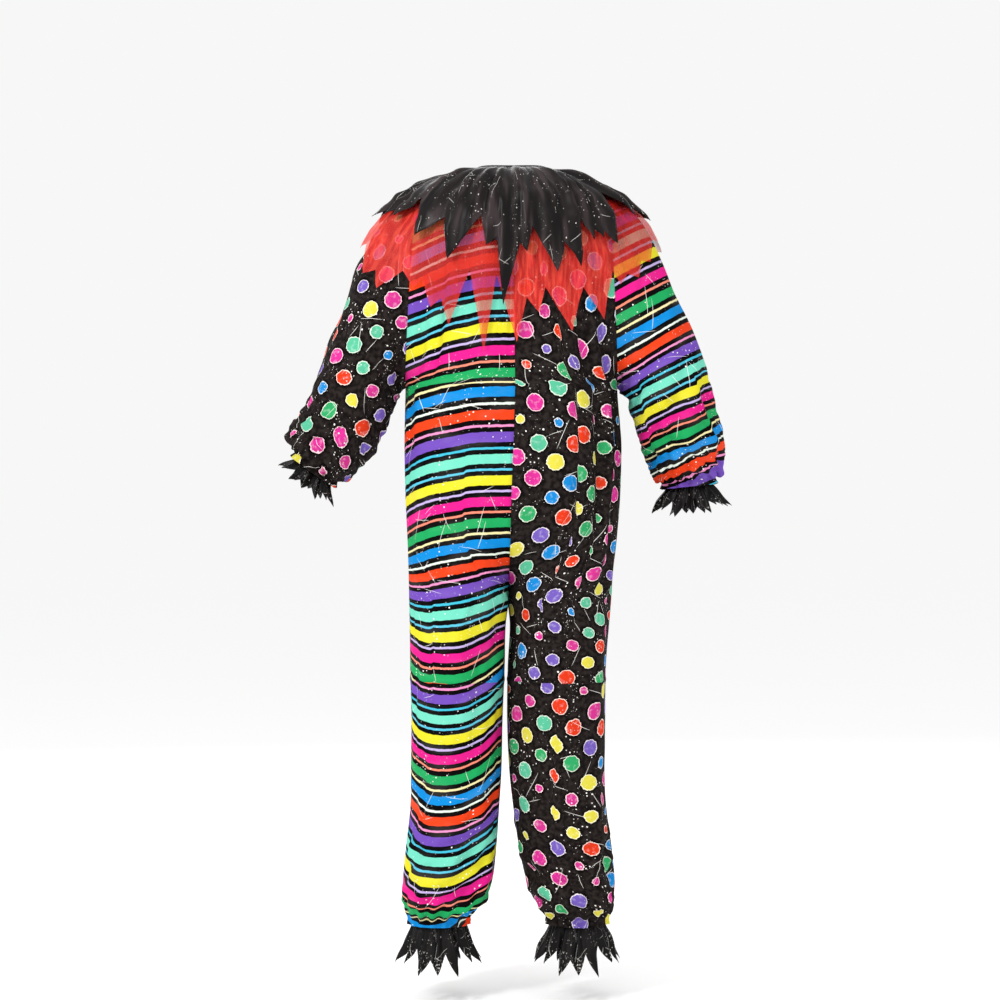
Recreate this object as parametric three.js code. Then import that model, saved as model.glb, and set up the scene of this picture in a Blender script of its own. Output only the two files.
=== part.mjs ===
// A clown's one-piece suit, hollow and open at neck, cuffs and hems, as it hangs on a wearer.
// Millimetres, +Z up, +X to the wearer's left, front facing -Y.
// The origin is the middle of the neckline at the height where the suit hangs on the shoulders.
import * as THREE from "three";
import { mergeVertices } from "three/addons/utils/BufferGeometryUtils.js";

// Driving sizes
const CLOTH = 1.6; // wall of the printed cloth
const THIN_CLOTH = 1.2; // wall of the satin and the mesh
const SEAM_GAP = 0.4; // space between two pieces sewn together
const TOP_STEPS = 13; // rows of a panel from the shoulder to the armpit
const PANEL_COLUMNS = 16; // columns of a panel from the centre seam to the side seam
const NECK_COLUMN = 5; // the column that runs down from the side of the neck
const ARMPIT_Z = -415;
const CROTCH_Z = -814;
const LEG_JOIN_Z = -962; // a seam across each leg, above the knee
const CALF_Z = -1340;
const HEM_Z = -1419;

// The armhole is an upright ellipse from the tip of the shoulder to the armpit.
const ARMHOLE = { tipX: 178, tipZ: -57, backDepth: 102, frontDepth: 96 };
const ARMPIT_X = { left: 199, right: 196 };
const NECK_RISE = -4; // height of the shoulder seams' line where it would meet at the neck's middle
const NECK_DIP = { back: 0.36, front: 0.62 }; // angles down the shoulder's curve at the centre seams
const NECK_ROWS = 4; // rows over which the panels ease into the neckband
const NECK_FALL = 4; // each of those rows is this much lower than the last
const NECK_STEP = 11; // and this much further out
const NECK_CLEAR = 1.8; // from the band's face to the first row
const SHOULDER_ROUND = 0.31; // share of the armhole's height in which the back turns upright
const SQUARENESS = 0.8; // under 1 makes the sections fuller at their corners

// Sections of the body and legs from the armpit down. In and Out are the x of the centre seam or
// inseam and of the side seam, midY is the side seam's y, back and front are depths from it, and
// legs says how far the section has parted into two legs.
const SECTIONS = [
  { z: ARMPIT_Z, leftIn: -5, leftOut: 199, rightIn: -5, rightOut: -196, midY: 0, back: 140, front: 130, legs: 0 },
  { z: -520, leftIn: -2, leftOut: 201, rightIn: -2, rightOut: -204, midY: 0, back: 138, front: 136, legs: 0 },
  { z: -620, leftIn: 2, leftOut: 199, rightIn: 2, rightOut: -202, midY: 2, back: 140, front: 134, legs: 0 },
  { z: -705, leftIn: 4, leftOut: 195, rightIn: 4, rightOut: -195, midY: 4, back: 139, front: 124, legs: 0.16 },
  { z: -765, leftIn: 6, leftOut: 193, rightIn: 6, rightOut: -188, midY: 5, back: 133, front: 115, legs: 0.6 },
  { z: CROTCH_Z, leftIn: 7, leftOut: 192, rightIn: 7, rightOut: -185, midY: 6, back: 124, front: 108, legs: 1 },
  { z: -860, leftIn: 13, leftOut: 191, rightIn: 3, rightOut: -181, midY: 6, back: 118, front: 104, legs: 1 },
  { z: -940, leftIn: 15, leftOut: 190, rightIn: 7, rightOut: -175, midY: 4, back: 108, front: 99, legs: 1 },
  { z: -1040, leftIn: 19, leftOut: 188, rightIn: 8, rightOut: -174, midY: 0, back: 101, front: 95, legs: 1 },
  { z: -1134, leftIn: 21, leftOut: 189, rightIn: 4, rightOut: -173, midY: -2, back: 100, front: 92, legs: 1 },
  { z: -1200, leftIn: 25, leftOut: 190, rightIn: -3, rightOut: -176, midY: -3, back: 103, front: 92, legs: 1 },
  { z: -1284, leftIn: 31, leftOut: 199, rightIn: -15, rightOut: -187, midY: -3, back: 108, front: 95, legs: 1 },
  { z: CALF_Z, leftIn: 38, leftOut: 204, rightIn: -28, rightOut: -192, midY: -1, back: 106, front: 94, legs: 1 },
  { z: -1372, leftIn: 50, leftOut: 203, rightIn: -40, rightOut: -190, midY: 1, back: 94, front: 86, legs: 1 },
  { z: -1394, leftIn: 70, leftOut: 199, rightIn: -57, rightOut: -186, midY: 3, back: 74, front: 70, legs: 1 },
  { z: -1406, leftIn: 80, leftOut: 194, rightIn: -65, rightOut: -180, midY: 4, back: 58, front: 56, legs: 1 },
  { z: HEM_Z, leftIn: 74, leftOut: 200, rightIn: -59, rightOut: -186, midY: 4, back: 64, front: 62, legs: 1 },
];
const HEM_ROWS = 5; // the last sections, which hold the gathers, are rows as they stand
const BODY_STEPS = 6; // rows from armpit to crotch
const THIGH_STEPS = 2; // rows from crotch to the join
const SHIN_STEPS = 6; // rows from the join to the calf
const JOIN_ROW = TOP_STEPS + BODY_STEPS + THIGH_STEPS;

// Folds of the panels: at is the column's share from centre to side at the top of the fold, lean is
// how far it has moved at the bottom, width is a share of the panel, and depth is in millimetres,
// positive where the cloth stands out.
const FOLDS = {
  back_left: [
    { at: 0.62, lean: 0.05, top: -180, bottom: -560, width: 0.1, depth: -7 },
    { at: 0.78, lean: -0.02, top: -200, bottom: -620, width: 0.09, depth: 6 },
    { at: 0.34, lean: 0.08, top: -420, bottom: -800, width: 0.13, depth: 5 },
    { at: 0.55, lean: -0.12, top: -760, bottom: -1120, width: 0.12, depth: -7 },
    { at: 0.8, lean: 0.04, top: -1060, bottom: -1385, width: 0.1, depth: 8 },
    { at: 0.3, lean: 0.06, top: -1130, bottom: -1390, width: 0.13, depth: 6 },
  ],
  back_right: [
    { at: 0.52, lean: 0.04, top: -170, bottom: -780, width: 0.09, depth: 9 },
    { at: 0.64, lean: 0.03, top: -200, bottom: -860, width: 0.07, depth: -10 },
    { at: 0.79, lean: -0.02, top: -230, bottom: -900, width: 0.08, depth: 8 },
    { at: 0.28, lean: 0.06, top: -330, bottom: -720, width: 0.12, depth: -5 },
    { at: 0.78, lean: 0.02, top: -820, bottom: -1330, width: 0.09, depth: -8 },
    { at: 0.4, lean: 0.1, top: -900, bottom: -1380, width: 0.14, depth: 6 },
  ],
  front_left: [
    { at: 0.5, lean: 0.05, top: -190, bottom: -700, width: 0.11, depth: 7 },
    { at: 0.7, lean: 0, top: -220, bottom: -780, width: 0.09, depth: -7 },
    { at: 0.45, lean: -0.1, top: -780, bottom: -1200, width: 0.12, depth: -6 },
    { at: 0.7, lean: 0.05, top: -1040, bottom: -1385, width: 0.11, depth: 7 },
  ],
  front_right: [
    { at: 0.46, lean: 0.04, top: -190, bottom: -740, width: 0.11, depth: -6 },
    { at: 0.68, lean: -0.03, top: -210, bottom: -760, width: 0.1, depth: 8 },
    { at: 0.56, lean: 0.08, top: -800, bottom: -1250, width: 0.12, depth: 6 },
    { at: 0.3, lean: 0.08, top: -1060, bottom: -1385, width: 0.13, depth: -6 },
  ],
};
const FOLD_SEAM_FADE = 0.1; // folds die out this near a panel's seams

// Rings of the sleeves after the armhole: out and in are the points on the arm's outer and inner
// side, midY is their y, back and front are depths from it.
const SLEEVE_RINGS = {
  left: [
    { outX: 229, outZ: -92, inX: 206, inZ: -418, midY: 0, back: 102, front: 96 },
    { outX: 256, outZ: -135, inX: 209, inZ: -422, midY: 2, back: 101, front: 95 },
    { outX: 280, outZ: -186, inX: 211, inZ: -427, midY: 4, back: 99, front: 93 },
    { outX: 305, outZ: -250, inX: 214, inZ: -436, midY: 8, back: 96, front: 90 },
    { outX: 334, outZ: -315, inX: 219, inZ: -449, midY: 11, back: 92, front: 88 },
    { outX: 359, outZ: -372, inX: 227, inZ: -468, midY: 10, back: 88, front: 86 },
    { outX: 376, outZ: -426, inX: 240, inZ: -494, midY: 2, back: 85, front: 84 },
    { outX: 396, outZ: -468, inX: 258, inZ: -523, midY: -12, back: 82, front: 82 },
    { outX: 419, outZ: -492, inX: 281, inZ: -553, midY: -27, back: 76, front: 78 },
    { outX: 424, outZ: -512, inX: 302, inZ: -578, midY: -38, back: 66, front: 68 },
    { outX: 415, outZ: -527, inX: 322, inZ: -591, midY: -46, back: 54, front: 55 },
    { outX: 408, outZ: -535, inX: 334, inZ: -590, midY: -51, back: 46, front: 46 },
    { outX: 420, outZ: -544, inX: 337, inZ: -603, midY: -56, back: 51, front: 51 },
  ],
  right: [
    { outX: -229, outZ: -91, inX: -203, inZ: -418, midY: 0, back: 102, front: 96 },
    { outX: -256, outZ: -132, inX: -206, inZ: -421, midY: 2, back: 101, front: 95 },
    { outX: -281, outZ: -184, inX: -208, inZ: -425, midY: 4, back: 99, front: 93 },
    { outX: -309, outZ: -246, inX: -211, inZ: -433, midY: 8, back: 96, front: 90 },
    { outX: -337, outZ: -310, inX: -216, inZ: -444, midY: 11, back: 92, front: 88 },
    { outX: -360, outZ: -366, inX: -223, inZ: -460, midY: 10, back: 88, front: 86 },
    { outX: -375, outZ: -424, inX: -233, inZ: -484, midY: 2, back: 85, front: 84 },
    { outX: -389, outZ: -480, inX: -245, inZ: -518, midY: -12, back: 82, front: 82 },
    { outX: -399, outZ: -528, inX: -256, inZ: -552, midY: -27, back: 77, front: 79 },
    { outX: -402, outZ: -556, inX: -264, inZ: -575, midY: -38, back: 67, front: 69 },
    { outX: -394, outZ: -574, inX: -274, inZ: -588, midY: -46, back: 56, front: 57 },
    { outX: -384, outZ: -583, inX: -288, inZ: -592, midY: -51, back: 46, front: 46 },
    { outX: -390, outZ: -595, inX: -285, inZ: -606, midY: -56, back: 51, front: 51 },
  ],
};
const SLEEVE_GATHER_FROM = 8; // the ring where the cuff's gathers begin

// Gathers drawn up by the elastic: a pleat is a column out and a column in.
const GATHER_DEPTH = 3.2;

// Points of the collars across the back, from the wearer's right shoulder to the left. The angles are
// degrees from the centre back, + to the left, and each point's notch comes before its tip. Lengths
// are along the cloth from the neck. The front is the same, mirrored.
const SATIN_POINTS = [
  { notchAt: -88, notch: 152, tipAt: -80, tip: 202 },
  { notchAt: -77, notch: 162, tipAt: -73, tip: 190 },
  { notchAt: -66, notch: 120, tipAt: -60, tip: 224 },
  { notchAt: -54, notch: 196, tipAt: -51, tip: 208 },
  { notchAt: -48, notch: 190, tipAt: -46, tip: 210 },
  { notchAt: -41, notch: 168, tipAt: -39, tip: 252 },
  { notchAt: -32, notch: 202, tipAt: -27, tip: 252 },
  { notchAt: -13, notch: 164, tipAt: -9, tip: 210 },
  { notchAt: -5, notch: 192, tipAt: 6, tip: 300 },
  { notchAt: 10, notch: 184, tipAt: 16, tip: 202 },
  { notchAt: 21, notch: 146, tipAt: 37, tip: 236 },
  { notchAt: 42, notch: 162, tipAt: 55, tip: 206 },
  { notchAt: 60, notch: 136, tipAt: 71, tip: 184 },
  { notchAt: 74, notch: 172, tipAt: 77, tip: 192 },
  { notchAt: 80, notch: 176, tipAt: 85, tip: 208 },
];
const MESH_POINTS = [
  { notchAt: -88, notch: 236, tipAt: -83, tip: 246 },
  { notchAt: -77, notch: 238, tipAt: -71, tip: 272 },
  { notchAt: -69, notch: 262, tipAt: -66, tip: 288 },
  { notchAt: -64, notch: 274, tipAt: -61.5, tip: 288 },
  { notchAt: -59, notch: 262, tipAt: -55, tip: 344 },
  { notchAt: -44, notch: 280, tipAt: -38, tip: 352 },
  { notchAt: -22, notch: 266, tipAt: -18, tip: 308 },
  { notchAt: -10, notch: 280, tipAt: -3, tip: 360 },
  { notchAt: 11, notch: 240, tipAt: 19, tip: 382 },
  { notchAt: 28, notch: 238, tipAt: 41, tip: 344 },
  { notchAt: 44, notch: 300, tipAt: 48, tip: 318 },
  { notchAt: 54, notch: 272, tipAt: 57, tip: 290 },
  { notchAt: 62, notch: 266, tipAt: 68, tip: 312 },
  { notchAt: 70, notch: 284, tipAt: 74, tip: 300 },
  { notchAt: 80, notch: 250, tipAt: 86, tip: 262 },
];

// Each collar stands off the cloth under it by lift, ruffles by wave at its edge, and starts drop
// below the band's top. The stiff mesh stands out past the sleeves by flare.
const COLLAR_CLEAR = 1.6; // from the band's face to a collar's first row
const MESH_DROP = 5.5;
const SATIN_DROP = 2.2;
const MESH_COLLAR = { points: MESH_POINTS, rows: 8, lift: 5, wave: 3, drop: MESH_DROP, flare: 4 };
const SATIN_COLLAR = { points: SATIN_POINTS, rows: 6, lift: 5, wave: 7, drop: SATIN_DROP, flare: 0 };

// The neckband, a bound edge that holds both collars. Depths are the ring's reach to back and front,
// drops are how far its top falls below the mount's height there.
const BAND = { halfWidth: 69, back: 60, front: 72, thickness: 3, height: 12, backDrop: 6, frontDrop: 30 };
const BAND_SIDE_RISE = 7;
const PANEL_DROP = 10; // the body's edge meets the band this far below its top

// Points of the gathered frills at cuffs and hems, repeated round the ring: lengths from the elastic.
const FRILL_POINTS = [
  { notch: 58, tip: 96 },
  { notch: 66, tip: 88 },
  { notch: 54, tip: 102 },
  { notch: 70, tip: 92 },
  { notch: 60, tip: 104 },
  { notch: 50, tip: 86 },
  { notch: 64, tip: 98 },
];
const FRILL_REPEATS = 2;
const FRILL_TUCK = 9; // the frill starts this far inside the hem
const HEM_FRILL_FLARE = 0.42; // growth of its radius for each millimetre down
const CUFF_FRILL_FLARE = 0.6;
const FRILL_FREE = 8; // it flares from this far past the elastic, clear of the printed edge
const FRILL_WAVE = 5;
const CUFF_FRILL_LENGTH = { left: 0.52, right: 0.68 }; // the cuffs' points against the hems'
const CUFF_FRILL_DROOP = { left: 0.1, right: 0.5 }; // 0 hangs along the arm, 1 straight down

const SIDES = { left: 1, right: -1 };

// ---- Small maths -------------------------------------------------------------------------------

const smooth = (t) => {
  const x = THREE.MathUtils.clamp(t, 0, 1);
  return x * x * (3 - 2 * x);
};

const lerp = THREE.MathUtils.lerp;

// A row of a table between its rows, on smooth curves through every column.
function rowAt(rows, key, value) {
  const last = rows.length - 1;
  const down = rows[0][key] > rows[last][key] ? -1 : 1;
  let i = 0;
  while (i < last - 1 && (value - rows[i + 1][key]) * down > 0) i += 1;
  const [a, b, c, d] = [rows[Math.max(i - 1, 0)], rows[i], rows[i + 1], rows[Math.min(i + 2, last)]];
  const span = c[key] - b[key];
  const t = (value - b[key]) / span;
  const made = {};
  for (const column of Object.keys(b)) {
    const slopeIn = a === b ? c[column] - b[column] : ((c[column] - a[column]) / (c[key] - a[key])) * span;
    const slopeOut = c === d ? c[column] - b[column] : ((d[column] - b[column]) / (d[key] - b[key])) * span;
    const rise = c[column] - b[column];
    made[column] =
      b[column] +
      slopeIn * t +
      (3 * rise - 2 * slopeIn - slopeOut) * t ** 2 +
      (slopeIn + slopeOut - 2 * rise) * t ** 3;
  }
  made[key] = value;
  return made;
}

// ---- The form of the suit ----------------------------------------------------------------------

// A point of a side's upper half at column share u, turned by angle down from the shoulder. The
// section is a full one to the side, and the armhole cuts it where the two meet.
function upperPoint(side, face, u, angle) {
  const chest = SECTIONS[0];
  const down = (1 - Math.cos(angle)) / 2;
  const depth = face === "back" ? chest.back : chest.front;
  const armholeX = lerp(ARMHOLE.tipX, ARMPIT_X[side], down);
  const armholeY = (face === "back" ? ARMHOLE.backDepth : ARMHOLE.frontDepth) * Math.sin(angle);
  const round = (1 - (1 - Math.min(1, down / SHOULDER_ROUND)) ** 2.2) ** (1 / 2.2);
  const middleY = depth * Math.max(round, 1e-6);
  const end = Math.acos(Math.min(1, armholeY / middleY) ** (1 / SQUARENESS));
  const sideX = armholeX / Math.sin(end) ** SQUARENESS;
  const out = Math.sin(u * end) ** SQUARENESS;
  const y = middleY * Math.cos(u * end) ** SQUARENESS;
  const share = (sideX * out) / armholeX;
  return new THREE.Vector3(
    SIDES[side] * sideX * out + chest.leftIn * down * (1 - share),
    face === "back" ? y : -y,
    lerp(lerp(NECK_RISE, ARMHOLE.tipZ, share ** 1.1), ARMPIT_Z, down),
  );
}

// The shares of the columns. On the neckline they are even steps round the neck, and below the
// chest they are even steps across the panel.
function columnShare(i, z) {
  const neckTurn = (i / NECK_COLUMN) * (Math.PI / 2);
  const neckOut = BAND.halfWidth / ARMHOLE.tipX;
  const shareOf = (out) => (2 / Math.PI) * Math.asin(out ** (1 / SQUARENESS));
  const edge = shareOf(neckOut);
  const top =
    i <= NECK_COLUMN
      ? shareOf(neckOut * Math.sin(neckTurn))
      : lerp(edge, 1, (i - NECK_COLUMN) / (PANEL_COLUMNS - NECK_COLUMN));
  return lerp(top, i / PANEL_COLUMNS, smooth((-60 - z) / 560));
}

// A point of a side's body or leg at column share u and height z.
function lowerPoint(side, face, u, z) {
  const s = rowAt(SECTIONS, "z", z);
  const [inX, outX] = side === "left" ? [s.leftIn, s.leftOut] : [s.rightIn, s.rightOut];
  const depth = face === "back" ? s.back : -s.front;
  const quarter = (u * Math.PI) / 2;
  const body = new THREE.Vector3(
    lerp(inX, outX, Math.sin(quarter) ** SQUARENESS),
    s.midY + depth * Math.cos(quarter) ** SQUARENESS,
    z,
  );
  const leg = new THREE.Vector3(
    lerp(inX, outX, (1 - Math.cos(u * Math.PI)) / 2),
    s.midY + depth * Math.max(0, Math.sin(u * Math.PI)) ** SQUARENESS,
    z,
  );
  return body.lerp(leg, THREE.MathUtils.clamp(s.legs, 0, 1));
}

// How far the folds move the cloth out at column share u and height z.
function foldOut(name, u, z) {
  let out = 0;
  for (const fold of FOLDS[name]) {
    const along = (fold.top - z) / (fold.top - fold.bottom);
    const across = (u - fold.at - fold.lean * along) / fold.width;
    out += fold.depth * Math.exp(-across * across) * smooth(4 * along) * smooth(4 * (1 - along));
  }
  return out * smooth(u / FOLD_SEAM_FADE) * smooth((1 - u) / FOLD_SEAM_FADE);
}

// Heights of the rows below the armpit.
function lowerLevels() {
  const levels = [];
  for (let i = 1; i <= BODY_STEPS; i += 1) levels.push(lerp(ARMPIT_Z, CROTCH_Z, i / BODY_STEPS));
  for (let i = 1; i <= THIGH_STEPS; i += 1) levels.push(lerp(CROTCH_Z, LEG_JOIN_Z, i / THIGH_STEPS));
  for (let i = 1; i < SHIN_STEPS; i += 1) levels.push(lerp(LEG_JOIN_Z, CALF_Z, i / SHIN_STEPS));
  for (const section of SECTIONS.slice(-HEM_ROWS)) levels.push(section.z);
  return levels;
}

// Gathers grow from nothing at the calf to their full depth at the elastic.
const hemGather = (z) => smooth((CALF_Z + 20 - z) / (CALF_Z + 20 - HEM_Z));

// The outer points of one side's back or front, row by row from the shoulder to the hem.
function panelGrid(side, face) {
  const name = `${face}_${side}`;
  const rows = [];
  const levels = lowerLevels();
  for (let j = 0; j <= TOP_STEPS + levels.length; j += 1) {
    const row = [];
    for (let i = 0; i <= PANEL_COLUMNS; i += 1) {
      const below = j - TOP_STEPS - 1;
      const point = below < 0 ? upperCell(side, face, i, j) : lowerCell(side, face, i, levels[below]);
      const u = columnShare(i, point.z);
      const seam = i === 0 || i === PANEL_COLUMNS;
      const pleat = seam ? 0 : (i % 2 ? -1 : 1) * GATHER_DEPTH * hemGather(point.z);
      row.push({ point, push: foldOut(name, u, point.z) + pleat });
    }
    rows.push(row);
  }
  return rows;
}

function upperCell(side, face, i, j) {
  const angle = lerp(startAngle(face, i), Math.PI, j / TOP_STEPS);
  const nominalZ = (ARMPIT_Z * (1 - Math.cos((j / TOP_STEPS) * Math.PI))) / 2;
  const point = upperPoint(side, face, columnShare(i, nominalZ), angle);
  const nearNeck = i <= NECK_COLUMN ? smooth(1 - j / NECK_ROWS) : 0;
  return point.lerp(neckPoint(side, face, i, j), nearNeck);
}

const lowerCell = (side, face, i, z) => lowerPoint(side, face, columnShare(i, z), z);

// The angle at which a column starts: 0 on the shoulder seam, more along the neckline.
function startAngle(face, i) {
  return i < NECK_COLUMN ? NECK_DIP[face] * Math.cos((i / NECK_COLUMN) * (Math.PI / 2)) : 0;
}

// Where a column of the neckline would run if it went straight out and down from the band.
function neckPoint(side, face, i, j) {
  const quarter = (i / NECK_COLUMN) * 90;
  const turn = face === "back" ? quarter : 180 - quarter;
  return bandPoint(SIDES[side] * turn, PANEL_DROP + NECK_FALL * j, NECK_CLEAR + NECK_STEP * j);
}

// The outer points of one sleeve: closed rings from the armhole to the cuff's edge. Column 0 is the
// outer side, and the columns run over the back to the armpit and return over the front.
function sleeveGrid(side) {
  const sign = SIDES[side];
  const armhole = {
    outX: sign * ARMHOLE.tipX,
    outZ: ARMHOLE.tipZ,
    inX: sign * ARMPIT_X[side],
    inZ: ARMPIT_Z,
    midY: 0,
    back: ARMHOLE.backDepth,
    front: ARMHOLE.frontDepth,
  };
  const rings = [armhole, ...SLEEVE_RINGS[side]];
  return rings.map((ring, j) => {
    const row = [];
    for (let i = 0; i < 2 * TOP_STEPS; i += 1) {
      const angle = (i * Math.PI) / TOP_STEPS;
      const across = (1 - Math.cos(angle)) / 2;
      const depth = Math.sin(angle) * (Math.sin(angle) > 0 ? ring.back : ring.front);
      const point = new THREE.Vector3(
        lerp(ring.outX, ring.inX, across),
        ring.midY + depth,
        lerp(ring.outZ, ring.inZ, across),
      );
      const gather = smooth((j - SLEEVE_GATHER_FROM) / (rings.length - 1 - SLEEVE_GATHER_FROM));
      row.push({ point, push: (i % 2 ? -1 : 1) * GATHER_DEPTH * gather });
    }
    return row;
  });
}

// ---- From points to cloth ----------------------------------------------------------------------

const MOST_MITRE = 1.7;
const keyOf = (p) => [p.x, p.y, p.z].map((v) => Math.round(v * 50)).join(",");

// Gives every point its outward direction. Points at one place, as on a seam, share the direction
// halfway between those of their pieces, and mitre says how much further the wall reaches along it.
function setNormals(grids) {
  const shared = new Map();
  for (const grid of grids) {
    const own = new Map();
    addFaceNormals(grid, own);
    for (const [key, normal] of own) {
      if (!shared.has(key)) shared.set(key, { sum: new THREE.Vector3(), pieces: 0 });
      shared.get(key).sum.add(normal.normalize());
      shared.get(key).pieces += 1;
    }
  }
  for (const cell of grids.flatMap((grid) => grid.rows.flat())) {
    const { sum, pieces } = shared.get(keyOf(cell.point));
    cell.normal = sum.clone().normalize();
    cell.mitre = Math.min(MOST_MITRE, pieces / Math.max(0.1, sum.length()));
  }
}

function addFaceNormals({ rows, closed, flip }, sums) {
  const columns = rows[0].length;
  const wrap = closed ? columns : columns - 1;
  for (let j = 0; j < rows.length - 1; j += 1) {
    for (let i = 0; i < wrap; i += 1) {
      const next = (i + 1) % columns;
      const corners = [rows[j][i], rows[j][next], rows[j + 1][next], rows[j + 1][i]];
      const across = corners[2].point.clone().sub(corners[0].point);
      const along = corners[3].point.clone().sub(corners[1].point);
      const area = across.cross(along).multiplyScalar(flip ? -1 : 1);
      for (const corner of corners) {
        const key = keyOf(corner.point);
        if (!sums.has(key)) sums.set(key, new THREE.Vector3());
        sums.get(key).add(area);
      }
    }
  }
}

// Moves the outer points by their fold, then draws each free edge back by half a seam gap.
function outerPoints({ rows, closed }) {
  const moved = rows.map((row) => row.map((c) => c.point.clone().addScaledVector(c.normal, c.push)));
  return drawnBack(moved, closed);
}

function drawnBack(points, closed) {
  const back = points.map((row) => row.map((p) => p.clone()));
  const last = points.length - 1;
  const draw = (p, inside) => p.addScaledVector(inside.clone().sub(p).normalize(), SEAM_GAP / 2);
  points[0].forEach((p, i) => draw(back[0][i], points[1][i]));
  points[last].forEach((p, i) => draw(back[last][i], points[last - 1][i]));
  if (!closed) {
    const end = points[0].length - 1;
    points.forEach((row, j) => {
      draw(back[j][0], row[1]);
      draw(back[j][end], row[end - 1]);
    });
  }
  return back;
}

// A closed wall between two grids of points, outer and inner.
function wall(outer, inner, closed) {
  const rows = outer.length;
  const columns = outer[0].length;
  const points = [...outer.flat(), ...inner.flat()];
  const at = (layer, j, i) => layer * rows * columns + j * columns + (i % columns);
  const faces = [];
  const quad = (a, b, c, d) => faces.push(a, b, c, a, c, d);
  const wrap = closed ? columns : columns - 1;
  for (let j = 0; j < rows - 1; j += 1) {
    for (let i = 0; i < wrap; i += 1) {
      quad(at(0, j, i), at(0, j, i + 1), at(0, j + 1, i + 1), at(0, j + 1, i));
      quad(at(1, j, i), at(1, j + 1, i), at(1, j + 1, i + 1), at(1, j, i + 1));
    }
    if (!closed) {
      quad(at(0, j, 0), at(0, j + 1, 0), at(1, j + 1, 0), at(1, j, 0));
      quad(at(0, j, wrap), at(1, j, wrap), at(1, j + 1, wrap), at(0, j + 1, wrap));
    }
  }
  for (let i = 0; i < wrap; i += 1) {
    quad(at(0, 0, i), at(1, 0, i), at(1, 0, i + 1), at(0, 0, i + 1));
    quad(at(0, rows - 1, i), at(0, rows - 1, i + 1), at(1, rows - 1, i + 1), at(1, rows - 1, i));
  }
  const geometry = new THREE.BufferGeometry();
  geometry.setAttribute("position", new THREE.Float32BufferAttribute(points.flatMap((p) => p.toArray()), 3));
  geometry.setIndex(volumeOf(points, faces) < 0 ? faces.reverse() : faces);
  const closedBody = mergeVertices(geometry, 1e-3);
  closedBody.computeVertexNormals();
  return closedBody;
}

function volumeOf(points, faces) {
  let volume = 0;
  for (let k = 0; k < faces.length; k += 3) {
    const [a, b, c] = [points[faces[k]], points[faces[k + 1]], points[faces[k + 2]]];
    volume += a.dot(b.clone().cross(c)) / 6;
  }
  return volume;
}

function clothWall({ rows, points, closed }) {
  const inner = points.map((row, j) =>
    row.map((p, i) => {
      const { normal, mitre } = rows[j][i];
      return p.clone().addScaledVector(normal, -CLOTH * mitre);
    }),
  );
  return wall(points, inner, closed);
}

// A thin wall inwards from a closed ring of points.
function thinWall(points, flip) {
  const rows = points.map((row) => row.map((point) => ({ point, push: 0 })));
  setNormals([{ rows, closed: true, flip }]);
  const inner = rows.map((row) => row.map((c) => c.point.clone().addScaledVector(c.normal, -THIN_CLOTH)));
  return wall(points, inner, true);
}

// ---- Collars -----------------------------------------------------------------------------------

const COLLAR_CENTRE = new THREE.Vector3(0, 0, -200); // in the chest: collars lie out from here
const PATH_STEP = 2; // degrees
const PATH_END = 150; // degrees down from straight up
const REACH_STEP = 2; // degrees
const REACH_SAMPLES = 12; // across each cell of a grid
const SETTLE_TURNS = 12;

// The edge of a collar all round: a direction and a length for each notch and each tip.
function collarEdge(rows) {
  const back = rows.flatMap((r) => [
    { angle: r.notchAt, length: r.notch, tip: false },
    { angle: r.tipAt, length: r.tip, tip: true },
  ]);
  const front = back.map((p) => ({ ...p, angle: p.angle + 180 }));
  return [...back, ...front];
}

function directionOf(angle, down) {
  const turn = THREE.MathUtils.degToRad(angle);
  return new THREE.Vector3(
    Math.sin(turn) * Math.sin(down),
    Math.cos(turn) * Math.sin(down),
    Math.cos(down),
  );
}

// How far out the outer points of some pieces reach from the centre: a function of the direction.
function reachOf(pieces) {
  const turns = 360 / REACH_STEP;
  const table = new Float64Array((turns * 180) / REACH_STEP);
  const cellOf = (way) => {
    const turn = THREE.MathUtils.radToDeg(Math.atan2(way.x, way.y)) + 360;
    const down = THREE.MathUtils.radToDeg(Math.acos(way.z));
    return [turn / REACH_STEP, down / REACH_STEP];
  };
  const downs = 180 / REACH_STEP;
  const slot = (i, j) => (((i % turns) + turns) % turns) + turns * THREE.MathUtils.clamp(j, 0, downs - 1);
  for (const { points, closed } of pieces) {
    for (const point of samplesOf(points, closed)) {
      const distance = point.sub(COLLAR_CENTRE).length();
      const [i, j] = cellOf(point.divideScalar(distance));
      const k = slot(Math.floor(i), Math.floor(j));
      table[k] = Math.max(table[k], distance);
    }
  }
  return (way) => {
    const [i, j] = cellOf(way).map((v) => v - 0.5);
    const [i0, j0] = [Math.floor(i), Math.floor(j)];
    const rowOf = (k) => lerp(table[slot(i0, k)], table[slot(i0 + 1, k)], i - i0);
    return lerp(rowOf(j0), rowOf(j0 + 1), j - j0);
  };
}

// Points spread over every cell of a grid.
function* samplesOf(points, closed) {
  const columns = points[0].length;
  const steps = REACH_SAMPLES;
  for (let r = 0; r < points.length - 1; r += 1) {
    for (let i = 0; i < (closed ? columns : columns - 1); i += 1) {
      const next = (i + 1) % columns;
      for (let k = 0; k <= steps; k += 1) {
        const left = points[r][i].clone().lerp(points[r + 1][i], k / steps);
        const right = points[r][next].clone().lerp(points[r + 1][next], k / steps);
        for (let m = 0; m <= steps; m += 1) yield left.clone().lerp(right, m / steps);
      }
    }
  }
}

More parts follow.
